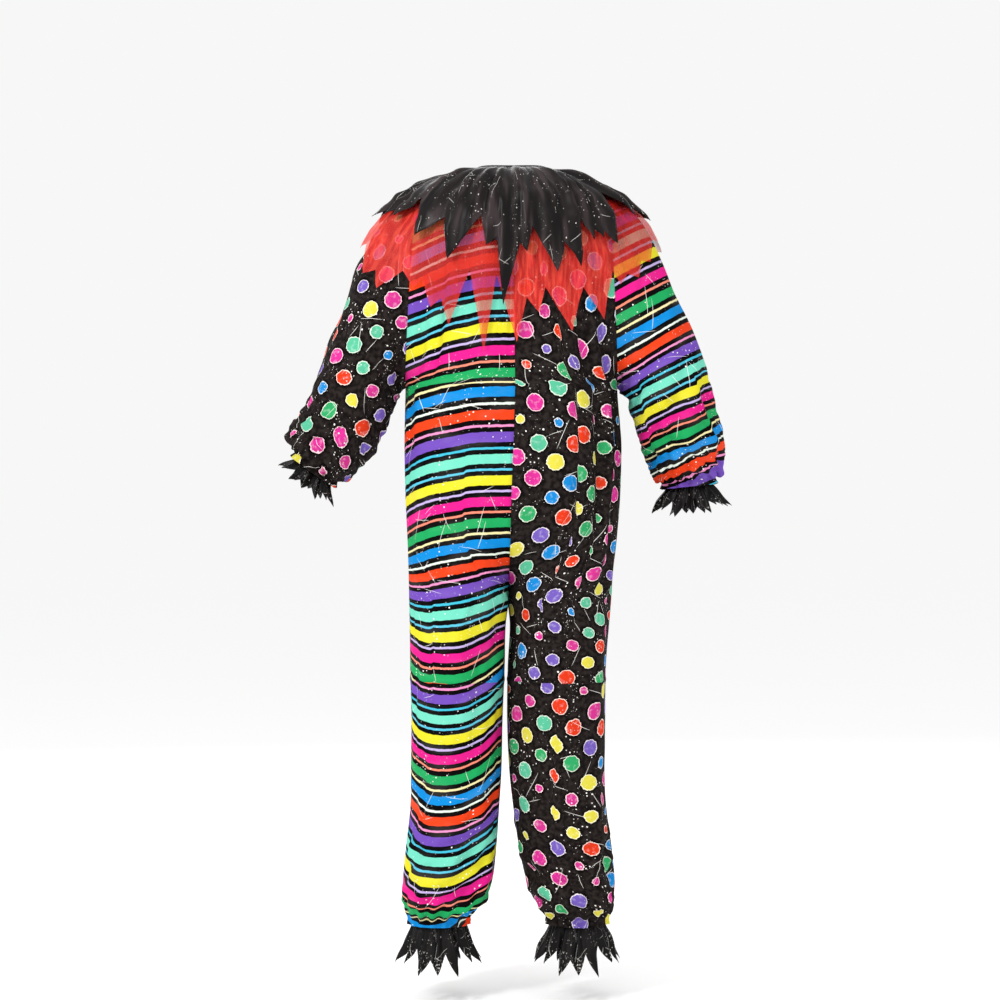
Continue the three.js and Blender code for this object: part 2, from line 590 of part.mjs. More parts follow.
// A point of the neckband's outer face, drop below its top.
function bandPoint(angle, drop, grow = 0) {
  const turn = THREE.MathUtils.degToRad(angle);
  const depth = Math.cos(turn) > 0 ? BAND.back : BAND.front;
  const toFront = (1 - Math.cos(turn)) / 2;
  const height = BAND_SIDE_RISE * Math.sin(turn) ** 2 - lerp(BAND.backDrop, BAND.frontDrop, toFront ** 1.6);
  return new THREE.Vector3(
    (BAND.halfWidth + grow) * Math.sin(turn),
    (depth + grow) * Math.cos(turn),
    height - drop,
  );
}

// The line of one column of a collar, from the band out over the cloth below.
function collarPath(angle, start, lift, reach) {
  const path = [start];
  for (let d = PATH_STEP; d <= PATH_END; d += PATH_STEP) {
    const way = directionOf(angle, THREE.MathUtils.degToRad(d));
    const point = COLLAR_CENTRE.clone().addScaledVector(way, reach(way) + lift);
    if (Math.hypot(point.x, point.y) > Math.hypot(start.x, start.y) + 5) path.push(point);
  }
  return path;
}

function pointAlong(path, length) {
  let walked = 0;
  for (let k = 1; k < path.length; k += 1) {
    const step = path[k].distanceTo(path[k - 1]);
    if (walked + step >= length) return path[k - 1].clone().lerp(path[k], (length - walked) / step);
    walked += step;
  }
  return path[path.length - 1].clone();
}

// A collar's cloth: columns run from the neckband out over the shoulders to the notches and tips.
function collarGrid({ points, rows, lift, wave, drop, flare }, reach) {
  const grid = [];
  for (let r = 0; r <= rows; r += 1) grid.push([]);
  for (const edge of collarEdge(points)) {
    const path = collarPath(edge.angle, bandPoint(edge.angle, drop, COLLAR_CLEAR), lift, reach);
    const side = Math.abs(Math.sin(THREE.MathUtils.degToRad(edge.angle))) ** 8;
    for (let r = 0; r <= rows; r += 1) {
      const share = r / rows;
      const point = pointAlong(path, edge.length * share);
      const away = point.clone().sub(COLLAR_CENTRE).normalize();
      const out = (edge.tip ? wave : 0) * smooth(share * 1.4) + flare * side * smooth(share) * share;
      grid[r].push(point.addScaledVector(away, out));
    }
  }
  settle(grid, lift, reach);
  return grid;
}

// Moves the points of a collar out until every stretch between them clears the cloth below.
function settle(grid, lift, reach) {
  const columns = grid[0].length;
  const rows = grid.length - 1;
  for (let turn = 0; turn < SETTLE_TURNS; turn += 1) {
    for (let r = 0; r < rows; r += 1) {
      const space = lerp(THIN_CLOTH + 0.8, lift, smooth((r + 0.5) / 2)) * 0.9;
      for (let i = 0; i < columns; i += 1) {
        const next = (i + 1) % columns;
        const [a, b, c, d] = [grid[r][i], grid[r][next], grid[r + 1][next], grid[r + 1][i]];
        const fixed = r === 0 ? [a, b] : [];
        for (const stretch of [[a, d], [a, c], [d, c], [b, d]]) clearStretch(stretch, fixed, space, reach);
      }
    }
  }
}

function clearStretch([from, to], fixed, space, reach) {
  for (const t of [0.25, 0.5, 0.75]) {
    const middle = from.clone().lerp(to, t).sub(COLLAR_CENTRE);
    const distance = middle.length();
    const short = reach(middle.normalize()) + space - distance;
    if (short <= 0) continue;
    for (const p of [from, to]) {
      const away = p.clone().sub(COLLAR_CENTRE).normalize();
      if (!fixed.includes(p)) p.addScaledVector(away, short * 0.7);
    }
  }
}

function neckband() {
  const steps = 4 * NECK_COLUMN * 2;
  const ring = (drop, grow) => {
    const row = [];
    for (let i = 0; i < steps; i += 1) row.push(bandPoint((i * 360) / steps, drop, grow));
    return row;
  };
  const outer = [ring(0, 0), ring(BAND.height, 0)];
  const inner = [ring(0, -BAND.thickness), ring(BAND.height, -BAND.thickness)];
  return wall(outer, inner, true);
}

// ---- Frills ------------------------------------------------------------------------------------

// A gathered frill under a gathered edge. ring gives the elastic's centre, its two half axes and the
// way the cloth leaves it, and the points hang from there.
function frill(ring, scale) {
  const points = [];
  for (let k = 0; k < FRILL_REPEATS; k += 1) points.push(...FRILL_POINTS);
  const edge = points.flatMap((p) => [
    { length: p.notch * scale, wave: -1 },
    { length: p.tip * scale, wave: 1 },
  ]);
  const rowShares = [0, 0.3, 0.62, 1];
  const outer = rowShares.map((share) =>
    edge.map((e, i) => {
      const turn = (i / edge.length) * 2 * Math.PI;
      const along = e.length * share - FRILL_TUCK * (1 - share);
      const grow = 1 + (ring.flare * Math.max(0, along - FRILL_FREE)) / ring.half.length();
      const ripple = e.wave * FRILL_WAVE * smooth(share);
      const radial = ring.half
        .clone()
        .multiplyScalar(Math.cos(turn))
        .addScaledVector(ring.depth, Math.sin(turn));
      const reach = radial.length() * grow + ripple;
      const way = ring.along.clone().lerp(ring.hang, smooth(share * 1.4 - 0.2)).normalize();
      return ring.centre.clone().addScaledVector(radial.normalize(), reach).addScaledVector(way, along);
    }),
  );
  return thinWall(outer, ring.flip);
}

const DOWN = new THREE.Vector3(0, 0, -1);
const FRILL_INSET = 8; // the frill's top ring is this much smaller than the elastic's

function hemRing(side) {
  const s = SECTIONS[SECTIONS.length - 2];
  const [inX, outX] = side === "left" ? [s.leftIn, s.leftOut] : [s.rightIn, s.rightOut];
  return {
    centre: new THREE.Vector3((inX + outX) / 2, s.midY, s.z - 4),
    half: new THREE.Vector3(Math.abs(outX - inX) / 2 - FRILL_INSET, 0, 0),
    depth: new THREE.Vector3(0, s.front - FRILL_INSET, 0),
    along: DOWN.clone(),
    hang: DOWN.clone(),
    flare: HEM_FRILL_FLARE,
    flip: true,
  };
}

function cuffRing(side) {
  const [elastic, edge] = SLEEVE_RINGS[side].slice(-2);
  const outer = (ring) => new THREE.Vector3(ring.outX, ring.midY, ring.outZ);
  const inner = (ring) => new THREE.Vector3(ring.inX, ring.midY, ring.inZ);
  const centreOf = (ring) => outer(ring).add(inner(ring)).multiplyScalar(0.5);
  const centre = centreOf(elastic);
  const along = centreOf(edge).sub(centre).normalize();
  const half = outer(elastic).sub(centre);
  return {
    centre: centre.addScaledVector(along, 3),
    half: half.setLength(half.length() - FRILL_INSET),
    depth: new THREE.Vector3(0, elastic.back - FRILL_INSET, 0),
    along,
    hang: along.clone().lerp(DOWN, CUFF_FRILL_DROOP[side]).normalize(),
    flare: CUFF_FRILL_FLARE,
    flip: side === "left",
  };
}

// ---- The suit ----------------------------------------------------------------------------------

const clothOf = (color, roughness) =>
  new THREE.MeshStandardMaterial({ color, roughness, metalness: 0 });
const STRIPES = clothOf(0xd9539a, 0.75);
const DOTS = clothOf(0x1c1a1c, 0.75);
const SATIN = clothOf(0x17151a, 0.4);
const RED_MESH = clothOf(0xd92a1e, 0.6);

const part = new THREE.Group();
const add = (name, geometry, material) => {
  const mesh = new THREE.Mesh(geometry, material);
  mesh.name = name;
  part.add(mesh);
};

// The body panel and the lower leg of one side's back or front, which meet at the join.
function panelsOf(side, face) {
  const rows = panelGrid(side, face);
  const both = {
    closed: false,
    flip: (side === "left") === (face === "front"),
    material: side === "left" ? STRIPES : DOTS,
  };
  return [
    { name: `${face}_${side}`, rows: rows.slice(0, JOIN_ROW + 1), ...both },
    { name: `leg_${face}_${side}`, rows: rows.slice(JOIN_ROW), ...both },
  ];
}
const sleeveOf = (side) => ({
  name: `sleeve_${side}`,
  rows: sleeveGrid(side),
  closed: true,
  flip: side === "left",
  material: side === "left" ? DOTS : STRIPES,
});

const cloth = [
  ...panelsOf("left", "back"),
  ...panelsOf("right", "back"),
  ...panelsOf("left", "front"),
  ...panelsOf("right", "front"),
  sleeveOf("left"),
  sleeveOf("right"),
];
setNormals(cloth);
for (const piece of cloth) {
  piece.points = outerPoints(piece);
  add(piece.name, clothWall(piece), piece.material);
}

const meshPoints = collarGrid(MESH_COLLAR, reachOf(cloth));
const satinPoints = collarGrid(SATIN_COLLAR, reachOf([...cloth, { points: meshPoints, closed: true }]));
add("mesh_collar", thinWall(meshPoints, false), RED_MESH);
add("satin_collar", thinWall(satinPoints, false), SATIN);
add("neckband", neckband(), SATIN);
add("cuff_frill_left", frill(cuffRing("left"), CUFF_FRILL_LENGTH.left), SATIN);
add("cuff_frill_right", frill(cuffRing("right"), CUFF_FRILL_LENGTH.right), SATIN);
add("hem_frill_left", frill(hemRing("left"), 1), SATIN);
add("hem_frill_right", frill(hemRing("right"), 1), SATIN);

export default part;
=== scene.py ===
"""A clown's one-piece suit as it hangs on a wearer, printed in halves, with two jagged collars.

Metres, +Z up, +X to the wearer's left, front facing -Y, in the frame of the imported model.
"""

import math

import bpy
import numpy as np
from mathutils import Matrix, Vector
from mathutils.bvhtree import BVHTree


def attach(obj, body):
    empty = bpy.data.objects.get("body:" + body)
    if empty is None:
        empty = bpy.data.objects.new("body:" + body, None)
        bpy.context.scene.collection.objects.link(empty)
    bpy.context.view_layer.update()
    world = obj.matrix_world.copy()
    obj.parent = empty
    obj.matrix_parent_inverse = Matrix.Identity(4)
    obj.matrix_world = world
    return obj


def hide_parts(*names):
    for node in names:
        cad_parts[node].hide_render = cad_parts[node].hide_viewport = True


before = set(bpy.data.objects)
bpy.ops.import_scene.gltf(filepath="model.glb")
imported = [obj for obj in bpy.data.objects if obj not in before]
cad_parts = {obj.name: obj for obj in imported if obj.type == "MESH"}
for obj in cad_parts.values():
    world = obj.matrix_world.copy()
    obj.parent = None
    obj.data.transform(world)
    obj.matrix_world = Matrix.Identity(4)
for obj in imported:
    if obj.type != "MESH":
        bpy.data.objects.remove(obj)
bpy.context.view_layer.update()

# ---- Body panels -------------------------------------------------------------------------------
# Back and front halves of a light polyester knit, sewn down the centre, sides and shoulders, each
# lengthened by a leg piece from above the knee. The wearer's left half is printed with stripes, the
# right half with dots. The back lies open to the waist under a lap closed by hook and loop.

CLOTH = 0.0009
ARMPIT_Z = -0.415
CROTCH_Z = -0.814
LEG_JOIN_Z = -0.962
CALF_Z = -1.340
HEM_Z = -1.419
TOP_ROWS = 13
NECK_COLUMN = 5
PANEL_COLUMNS = 16
COLUMN_STEPS = 5
PANEL_MIDDLE = COLUMN_STEPS * PANEL_COLUMNS // 2
EVEN_FROM_Z = -0.06
EVEN_OVER = 0.56
SQUARENESS = 0.8
ARMHOLE_TIP = (0.178, -0.057)
ARMHOLE_DEPTH = {"back": 0.102, "front": 0.096}
ARMPIT_X = {"left": 0.199, "right": 0.196}
SHOULDER_ROUND = 0.31
SHOULDER_CURVE = 2.2
SHOULDER_SLOPE = 1.1
NECK_RISE = -0.004
NECK_DIP = {"back": 0.36, "front": 0.62}
NECK_ROWS = 4
NECK_FALL = 0.004
NECK_STEP = 0.011
NECK_CLEAR = 0.0014
SIDES = {"left": 1, "right": -1}


def table(columns, *rows):
    """Rows of numbers as one array for each named column."""
    return dict(zip(columns.split(), np.array(rows, float).T))


def tables(columns, **named):
    return {name: table(columns, *rows) for name, rows in named.items()}


SECTIONS = table(
    "z left_in left_out right_in right_out mid_y back front legs",
    (ARMPIT_Z, -0.005, 0.199, -0.005, -0.196, 0, 0.140, 0.130, 0),
    (-0.520, -0.002, 0.201, -0.002, -0.204, 0, 0.138, 0.136, 0),
    (-0.620, 0.002, 0.199, 0.002, -0.202, 0.002, 0.140, 0.134, 0),
    (-0.705, 0.004, 0.195, 0.004, -0.195, 0.004, 0.139, 0.124, 0.16),
    (-0.765, 0.006, 0.193, 0.006, -0.188, 0.005, 0.133, 0.115, 0.6),
    (CROTCH_Z, 0.007, 0.192, 0.007, -0.185, 0.006, 0.124, 0.108, 1),
    (-0.860, 0.013, 0.191, 0.003, -0.181, 0.006, 0.118, 0.104, 1),
    (-0.940, 0.015, 0.190, 0.007, -0.175, 0.004, 0.108, 0.099, 1),
    (-1.040, 0.019, 0.188, 0.008, -0.174, 0, 0.101, 0.095, 1),
    (-1.134, 0.021, 0.189, 0.004, -0.173, -0.002, 0.100, 0.092, 1),
    (-1.200, 0.025, 0.190, -0.003, -0.176, -0.003, 0.103, 0.092, 1),
    (-1.284, 0.031, 0.199, -0.015, -0.187, -0.003, 0.108, 0.095, 1),
    (CALF_Z, 0.038, 0.204, -0.028, -0.192, -0.001, 0.106, 0.094, 1),
    (-1.372, 0.050, 0.203, -0.040, -0.190, 0.001, 0.094, 0.086, 1),
    (-1.394, 0.070, 0.199, -0.057, -0.186, 0.003, 0.074, 0.070, 1),
    (-1.406, 0.080, 0.194, -0.065, -0.180, 0.004, 0.058, 0.056, 1),
    (HEM_Z, 0.079, 0.195, -0.064, -0.181, 0.004, 0.059, 0.057, 1),
)
BODY_ROWS = 6
THIGH_ROWS = 2
SHIN_ROWS = 6
HEM_ROWS = 5
JOIN_ROW = TOP_ROWS + BODY_ROWS + THIGH_ROWS
SHIN_END = JOIN_ROW + SHIN_ROWS
HEM_END = SHIN_END + HEM_ROWS - 1
# Stretches of the pattern's rows, each with the steps that a row of it is divided into.
ROW_STEPS = ((0, TOP_ROWS, 7), (TOP_ROWS, SHIN_END, 11), (SHIN_END, HEM_END, 7))

# Folds of each panel: at is the share from centre to side at the top, lean its shift at the bottom,
# depth is out of the cloth, and hidden is the width of print that a sharp pleat swallows. Sharp
# pleats rise from the centre's side and end in a step.
FOLD_COLUMNS = "at lean top bottom width depth hidden"
FOLDS = tables(FOLD_COLUMNS, back_left=[
    (0.62, 0.05, -0.18, -0.56, 0.10, -0.007, 0),
    (0.78, -0.02, -0.20, -0.62, 0.09, 0.006, 0),
    (0.34, 0.08, -0.42, -0.80, 0.13, 0.005, 0),
    (0.55, -0.12, -0.76, -1.12, 0.12, -0.007, 0),
    (0.80, 0.04, -1.06, -1.385, 0.10, 0.008, 0),
    (0.30, 0.06, -1.13, -1.39, 0.13, 0.006, 0),
    (0.53, 0.01, -0.16, -0.43, 0.06, 0.004, 0.007),
    (0.22, 0.05, -0.52, -0.80, 0.05, 0.003, 0.004),
    (0.66, 0.03, -0.70, -1.02, 0.05, 0.003, 0.004),
], back_right=[
    (0.52, 0.04, -0.17, -0.78, 0.09, 0.009, 0),
    (0.64, 0.03, -0.20, -0.86, 0.07, -0.010, 0),
    (0.79, -0.02, -0.23, -0.90, 0.08, 0.008, 0),
    (0.28, 0.06, -0.33, -0.72, 0.12, -0.005, 0),
    (0.78, 0.02, -0.82, -1.33, 0.09, -0.008, 0),
    (0.40, 0.10, -0.90, -1.38, 0.14, 0.006, 0),
    (0.295, 0.095, -0.20, -0.96, 0.055, 0.006, 0.020),
    (0.49, 0.10, -0.22, -0.92, 0.045, 0.005, 0.018),
    (0.70, 0.04, -0.28, -0.80, 0.040, 0.004, 0.014),
    (0.52, -0.10, -0.98, -1.30, 0.050, 0.003, 0.008),
], front_left=[
    (0.50, 0.05, -0.19, -0.70, 0.11, 0.007, 0),
    (0.70, 0.00, -0.22, -0.78, 0.09, -0.007, 0),
    (0.45, -0.10, -0.78, -1.20, 0.12, -0.006, 0),
    (0.70, 0.05, -1.04, -1.385, 0.11, 0.007, 0),
], front_right=[
    (0.46, 0.04, -0.19, -0.74, 0.11, -0.006, 0),
    (0.68, -0.03, -0.21, -0.76, 0.10, 0.008, 0),
    (0.56, 0.08, -0.80, -1.25, 0.12, 0.006, 0),
    (0.30, 0.08, -1.06, -1.385, 0.13, -0.006, 0),
])
# Folds fade towards their ends and a panel's seams. A sharp pleat drops steeply past its ridge.
FOLD_ENDS = 0.25
FOLD_CALM = 0.1
PLEAT_STEEP = 7
PLEAT_STEP = 30
PLEAT_DROP = 0.7
GATHER_DEPTH = 0.0032
GATHER_START_Z = CALF_Z + 0.05

# Crumple of the panels: its height out of the cloth, its size across and down, and the levels at
# which it begins and ends, each with the drop over which it does so.
CRUMPLES = table(
    "height across down begin_z begin_over end_z end_over",
    (0.0024, 0.13, 0.55, -0.06, 0.20, -1.30, 0.08),
    (0.0010, 0.05, 0.16, -0.06, 0.20, -1.30, 0.08),
    (0.0042, 0.16, 0.07, -1.16, 0.12, -1.375, 0.025),
)
CRUMPLE_CALM = 0.12

# Seams pull the cloth in, and the lap of the back stands out over its left edge.
SEAM_WIDTH = 0.005
SEAM_DEPTH = 0.0012
JOIN_DEPTH = 0.0014
SEAM_END_Z = HEM_Z + 0.03
SEAM_END_OVER = 0.02
LAP_END_Z = -0.508
LAP_HEIGHT = 0.0022
LAP_WIDTH = 0.010
LAP_STEP = 0.004

# How far the print has sunk from its level at the centre, in the body and in the legs, how much of
# that each side shows, and the share by which the cloth is longer than its drop.
SAG = table(
    "share body leg",
    (0, 0, -0.019),
    (0.18, 0.002, -0.007),
    (0.3, 0.0075, 0.013),
    (0.47, 0.0145, 0.0315),
    (0.69, 0.027, 0.035),
    (0.86, 0.036, 0.023),
    (1, 0.042, 0.006),
)
SAG_SHOWN = {"left": 1, "right": 0.25}
SAG_CHANGE = 0.12
SLACK = table(
    "z share",
    (0.1, -0.05),
    (-0.42, -0.05),
    (-0.60, 0.04),
    (-0.75, 0.065),
    (-0.95, 0.062),
    (-1.15, 0.075),
    (-1.5, 0.075),
)


def smooth(t):
    t = np.clip(t, 0, 1)
    return t * t * (3 - 2 * t)


def within(share, edge):
    """1 inside the range from 0 to 1, and fading to 0 towards both of its ends."""
    return smooth(share / edge) * smooth((1 - share) / edge)


def lerp(a, b, t):
    return a + (b - a) * t


def between(rows, key, value):
    """A table's columns at any value of one of them, on smooth curves through its rows."""
    at = rows[key]
    order = np.sign(at[-1] - at[0])
    i = np.clip(np.searchsorted(at * order, value * order, side="right") - 1, 0, len(at) - 2)
    span = at[i + 1] - at[i]
    t = (value - at[i]) / span
    made = {}
    for name, column in rows.items():
        slope = np.gradient(column, at)
        slope[1:-1] = (column[2:] - column[:-2]) / (at[2:] - at[:-2])
        rise = column[i + 1] - column[i]
        a, b = slope[i] * span, slope[i + 1] * span
        made[name] = column[i] + a * t + (3 * rise - 2 * a - b) * t**2 + (a + b - 2 * rise) * t**3
    return made


def power(value, exponent):
    return np.maximum(value, 0) ** exponent


def column_share(c, z):
    """A column's share from centre to side: even round the neckline, even across lower down."""
    neck_out = BAND_HALF_WIDTH / ARMHOLE_TIP[0]
    share_of = lambda out: 2 / math.pi * np.arcsin(power(out, 1 / SQUARENESS))
    on_neck = share_of(neck_out * np.sin(np.minimum(c / NECK_COLUMN, 1) * math.pi / 2))
    past_neck = lerp(share_of(neck_out), 1, (c - NECK_COLUMN) / (PANEL_COLUMNS - NECK_COLUMN))
    top = np.where(c <= NECK_COLUMN, on_neck, past_neck)
    return lerp(top, c / PANEL_COLUMNS, smooth((EVEN_FROM_Z - z) / EVEN_OVER))


def upper_form(side, face, u, angle):
    """Points of a side's upper half: a full section to the side, cut by the armhole."""
    chest = {name: column[0] for name, column in SECTIONS.items()}
    down = (1 - np.cos(angle)) / 2
    armhole_x = lerp(ARMHOLE_TIP[0], ARMPIT_X[side], down)
    flat = power(1 - np.minimum(1, down / SHOULDER_ROUND), SHOULDER_CURVE)
    middle_y = chest[face] * np.maximum(power(1 - flat, 1 / SHOULDER_CURVE), 1e-6)
    armhole_y = ARMHOLE_DEPTH[face] * np.sin(angle)
    end = np.arccos(power(np.minimum(1, armhole_y / middle_y), 1 / SQUARENESS))
    end = lerp(math.pi / 2, end, smooth(angle / (math.pi / TOP_ROWS)))
    side_x = armhole_x / power(np.sin(end), SQUARENESS)
    out = power(np.sin(u * end), SQUARENESS)
    y = middle_y * power(np.cos(u * end), SQUARENESS)
    share = side_x * out / armhole_x
    x = SIDES[side] * side_x * out + chest["left_in"] * down * (1 - share)
    z = lerp(lerp(NECK_RISE, ARMHOLE_TIP[1], power(share, SHOULDER_SLOPE)), ARMPIT_Z, down)
    return np.stack([x, y if face == "back" else -y, z], -1)


def lower_form(side, face, u, z):
    """Points of a side's body or leg."""
    s = between(SECTIONS, "z", z)
    inner, outer = s[side + "_in"], s[side + "_out"]
    depth = s["back"] if face == "back" else -s["front"]
    quarter = u * math.pi / 2
    body_x = lerp(inner, outer, power(np.sin(quarter), SQUARENESS))
    body_y = depth * power(np.cos(quarter), SQUARENESS)
    leg_x = lerp(inner, outer, (1 - np.cos(2 * quarter)) / 2)
    leg_y = depth * power(np.sin(2 * quarter), SQUARENESS)
    legs = np.clip(s["legs"], 0, 1)
    return np.stack([lerp(body_x, leg_x, legs), s["mid_y"] + lerp(body_y, leg_y, legs), z], -1)


BAND_HALF_WIDTH = 0.069
BAND_DEPTH = {"back": 0.060, "front": 0.072}
BAND_DROP = {"back": 0.006, "front": 0.030}
BAND_SIDE_RISE = 0.007
BAND_DIP = 1.6
PANEL_DROP = 0.010


def band_point(turn, drop, grow=0.0):
    """Points of the neckband's outer face, turn radians from the centre back, drop below its top."""
    depth = np.where(np.cos(turn) > 0, BAND_DEPTH["back"], BAND_DEPTH["front"])
    to_front = ((1 - np.cos(turn)) / 2) ** BAND_DIP
    height = BAND_SIDE_RISE * np.sin(turn) ** 2 - lerp(BAND_DROP["back"], BAND_DROP["front"], to_front)
    across = (BAND_HALF_WIDTH + grow) * np.sin(turn)
    return np.stack([across, (depth + grow) * np.cos(turn), height - drop], -1)


def panel_form(side, face, c, r):
    """Points of a panel at column c and row r of the pattern."""
    levels = np.concatenate([
        np.linspace(ARMPIT_Z, CROTCH_Z, BODY_ROWS + 1),
        np.linspace(CROTCH_Z, LEG_JOIN_Z, THIGH_ROWS + 1)[1:],
        np.linspace(LEG_JOIN_Z, CALF_Z, SHIN_ROWS + 1)[1:-1],
        SECTIONS["z"][-HEM_ROWS:],
    ])
    z = np.interp(r, TOP_ROWS + np.arange(len(levels)), levels)
    lower = lower_form(side, face, column_share(c, z), z)
    w = np.minimum(r / TOP_ROWS, 1)
    start = np.where(c < NECK_COLUMN, NECK_DIP[face] * np.cos(c / NECK_COLUMN * math.pi / 2), 0)
    angle = lerp(start, math.pi, w)
    nominal_z = ARMPIT_Z * (1 - np.cos(w * math.pi)) / 2
    upper = upper_form(side, face, column_share(c, nominal_z), angle)
    quarter = np.minimum(c / NECK_COLUMN, 1) * math.pi / 2
    turn = SIDES[side] * (quarter if face == "back" else math.pi - quarter)
    collar = band_point(turn, PANEL_DROP + NECK_FALL * r, NECK_CLEAR + NECK_STEP * r)
    near_neck = smooth(1 - r / NECK_ROWS) * (1 - smooth(c - NECK_COLUMN))
    upper = lerp(upper, collar, near_neck[..., None])
    return np.where((r > TOP_ROWS)[..., None], lower, upper)


def unit(vectors):
    return vectors / np.maximum(np.linalg.norm(vectors, axis=-1, keepdims=True), 1e-9)


def closed(grid):
    """A grid with its first column again after its last."""
    return np.concatenate([grid, grid[:, :1]], 1)


def outward(points, sign, ring=False):
    """Unit normals of a grid of points, out of the cloth where sign is right."""
    if ring:
        wide = np.concatenate([points[:, -1:], points, points[:, :1]], 1)
        across = (wide[:, 2:] - wide[:, :-2]) / 2
    else:
        across = np.gradient(points, axis=1)
    return unit(sign * np.cross(across, np.gradient(points, axis=0)))


def crumple(s, t, seed, across, down, waves=26):
    """Soft uneven ripples of about unit height, with the given sizes across and down the cloth."""
    random = np.random.default_rng(seed)
    total = np.zeros(np.broadcast(s, t).shape)
    for _ in range(waves):
        ks, kt = random.normal(0, 1, 2)
        total += np.sin(2 * math.pi * (ks * s / across + kt * t / down) + random.uniform(0, 2 * math.pi))
    return total / math.sqrt(waves / 2)


def fold_shift(folds, u, z):
    """How far a panel's folds move its cloth out, and how much print they have swallowed."""
    out, hidden = np.zeros(u.shape), np.zeros(u.shape)
    for at, lean, top, bottom, width, depth, swallowed in zip(*folds.values()):
        along = (top - z) / (top - bottom)
        across = (u - at - lean * along) / width
        ends = within(along, FOLD_ENDS)
        if swallowed:
            out += depth * np.exp(np.where(across < 0, across, -PLEAT_STEEP * across)) * ends
            hidden += swallowed * ends / (1 + np.exp(np.clip(-PLEAT_STEP * across, -50, 50)))
        else:
            out += depth * np.exp(-across * across) * ends
    return out * within(u, FOLD_CALM), hidden


def arc(points, axis):
    """Length along a grid's rows or columns from its first point."""
    steps = np.linalg.norm(np.diff(points, axis=axis), axis=-1)
    start = np.zeros_like(np.take(steps, [0], axis=axis))
    return np.concatenate([start, np.cumsum(steps, axis=axis)], axis=axis)


def print_fall(points, u, sag_shown):
    """How far down the cloth's print each point of a panel lies, from the armpit's level."""
    z = points[..., 2]
    middle = points[:, PANEL_MIDDLE]
    steps = np.linalg.norm(np.diff(middle, axis=0), axis=1)
    steps *= 1 + np.interp(-middle[1:, 2], -SLACK["z"], SLACK["share"])
    drop = np.concatenate([[0], np.cumsum(steps)])
    drop -= np.interp(-ARMPIT_Z, -middle[:, 2], drop)
    in_leg = smooth((CROTCH_Z + SAG_CHANGE - z) / (2 * SAG_CHANGE))
    sag = between(SAG, "share", u)
    sag = lerp(sag["body"], sag["leg"], in_leg)
    return np.interp(-z, -middle[:, 2], drop) - sag * sag_shown


def cloth_mesh(name, points, s, t, ring=False, flip=False):
    """A mesh of a grid of points, with the flat cloth's metres as its UV map."""
    rows, columns = points.shape[:2]
    index = np.arange(rows * columns).reshape(rows, columns)
    if ring:
        index = closed(index)
    loops = np.arange(s.size).reshape(s.shape)
    corners = lambda grid: np.stack([grid[:-1, :-1], grid[:-1, 1:], grid[1:, 1:], grid[1:, :-1]], -1)
    faces, uv_at = corners(index).reshape(-1, 4), corners(loops).reshape(-1, 4)
    if flip:
        faces, uv_at = faces[:, ::-1], uv_at[:, ::-1]
    mesh = bpy.data.meshes.new(name)
    mesh.from_pydata(points.reshape(-1, 3).tolist(), [], faces.tolist())
    uv = np.stack([s, t], -1).reshape(-1, 2)[uv_at.reshape(-1)]
    mesh.uv_layers.new(name="cloth").data.foreach_set("uv", uv.astype(np.float32).ravel())
    mesh.polygons.foreach_set("use_smooth", np.ones(len(faces), bool))
    mesh.update()
    piece = bpy.data.objects.new(name, mesh)
    bpy.context.scene.collection.objects.link(piece)
    return piece


def hem_to_shell(piece, thickness):
    """Gives a sheet its thickness, inwards from the points it was laid out on."""
    shell = piece.modifiers.new("shell", "SOLIDIFY")
    shell.thickness = thickness
    shell.offset = -1
    shell.use_quality_normals = True


def sew_in(piece, node, dyed):
    """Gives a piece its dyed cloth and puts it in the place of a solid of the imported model."""
    piece.data.materials.append(dyed)
    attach(piece, "root")
    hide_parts(node)
    return piece


class Signal:
    """An output of a material's node, which takes part in sums and feeds further nodes."""

    def __init__(self, tree, socket=None):
        self.tree = tree
        self.socket = socket

    def node(self, kind, sockets, output=0, **settings):
        made = self.tree.nodes.new("ShaderNode" + kind)
        for name, value in settings.items():
            setattr(made, name, value)
        for name, value in sockets.items():
            if isinstance(value, Signal):
                self.tree.links.new(value.socket, made.inputs[name])
            else:
                made.inputs[name].default_value = value
        return Signal(self.tree, made.outputs[output] if made.outputs else None)

    def math(self, operation, *others):
        return self.node("Math", dict(enumerate((self, *others))), operation=operation)

    def __add__(self, other):
        return self.math("ADD", other)

    __radd__ = __add__

    def __sub__(self, other):
        return self.math("SUBTRACT", other)

    def __rsub__(self, other):
        return self.node("Math", {0: other, 1: self}, operation="SUBTRACT")

    def __mul__(self, other):
        return self.math("MULTIPLY", other)

    __rmul__ = __mul__

    def __truediv__(self, other):
        return self.math("DIVIDE", other)

    def over(self, low, high):
        """0 below low, 1 above high and smooth between them."""
        sockets = {"Value": self, "From Min": low, "From Max": high}
        return self.node("MapRange", sockets, interpolation_type="SMOOTHSTEP")

    def mixed(self, a, b):
        """Colour a where this is 0 and colour b where it is 1."""
        return self.node("Mix", {0: self, 6: a, 7: b}, 2, data_type="RGBA")

    def stepped(self, stops):
        """The colour of the last of several stops that this has reached."""
        banded = self.node("ValToRGB", {"Fac": self})
        ramp = banded.socket.node.color_ramp
        ramp.interpolation = "CONSTANT"
        while len(ramp.elements) < len(stops):
            ramp.elements.new(0.5)
        for element, (place, colour) in zip(ramp.elements, stops):
            element.position = place
            element.color = colour
        return banded


def tint(code):
    """A colour as it looks on screen, such as "#ff8800", as the linear values that nodes take."""
    shares = [int(code[i : i + 2], 16) / 255 for i in (1, 3, 5)]
    return (*[x / 12.92 if x <= 0.04045 else ((x + 0.055) / 1.055) ** 2.4 for x in shares], 1)


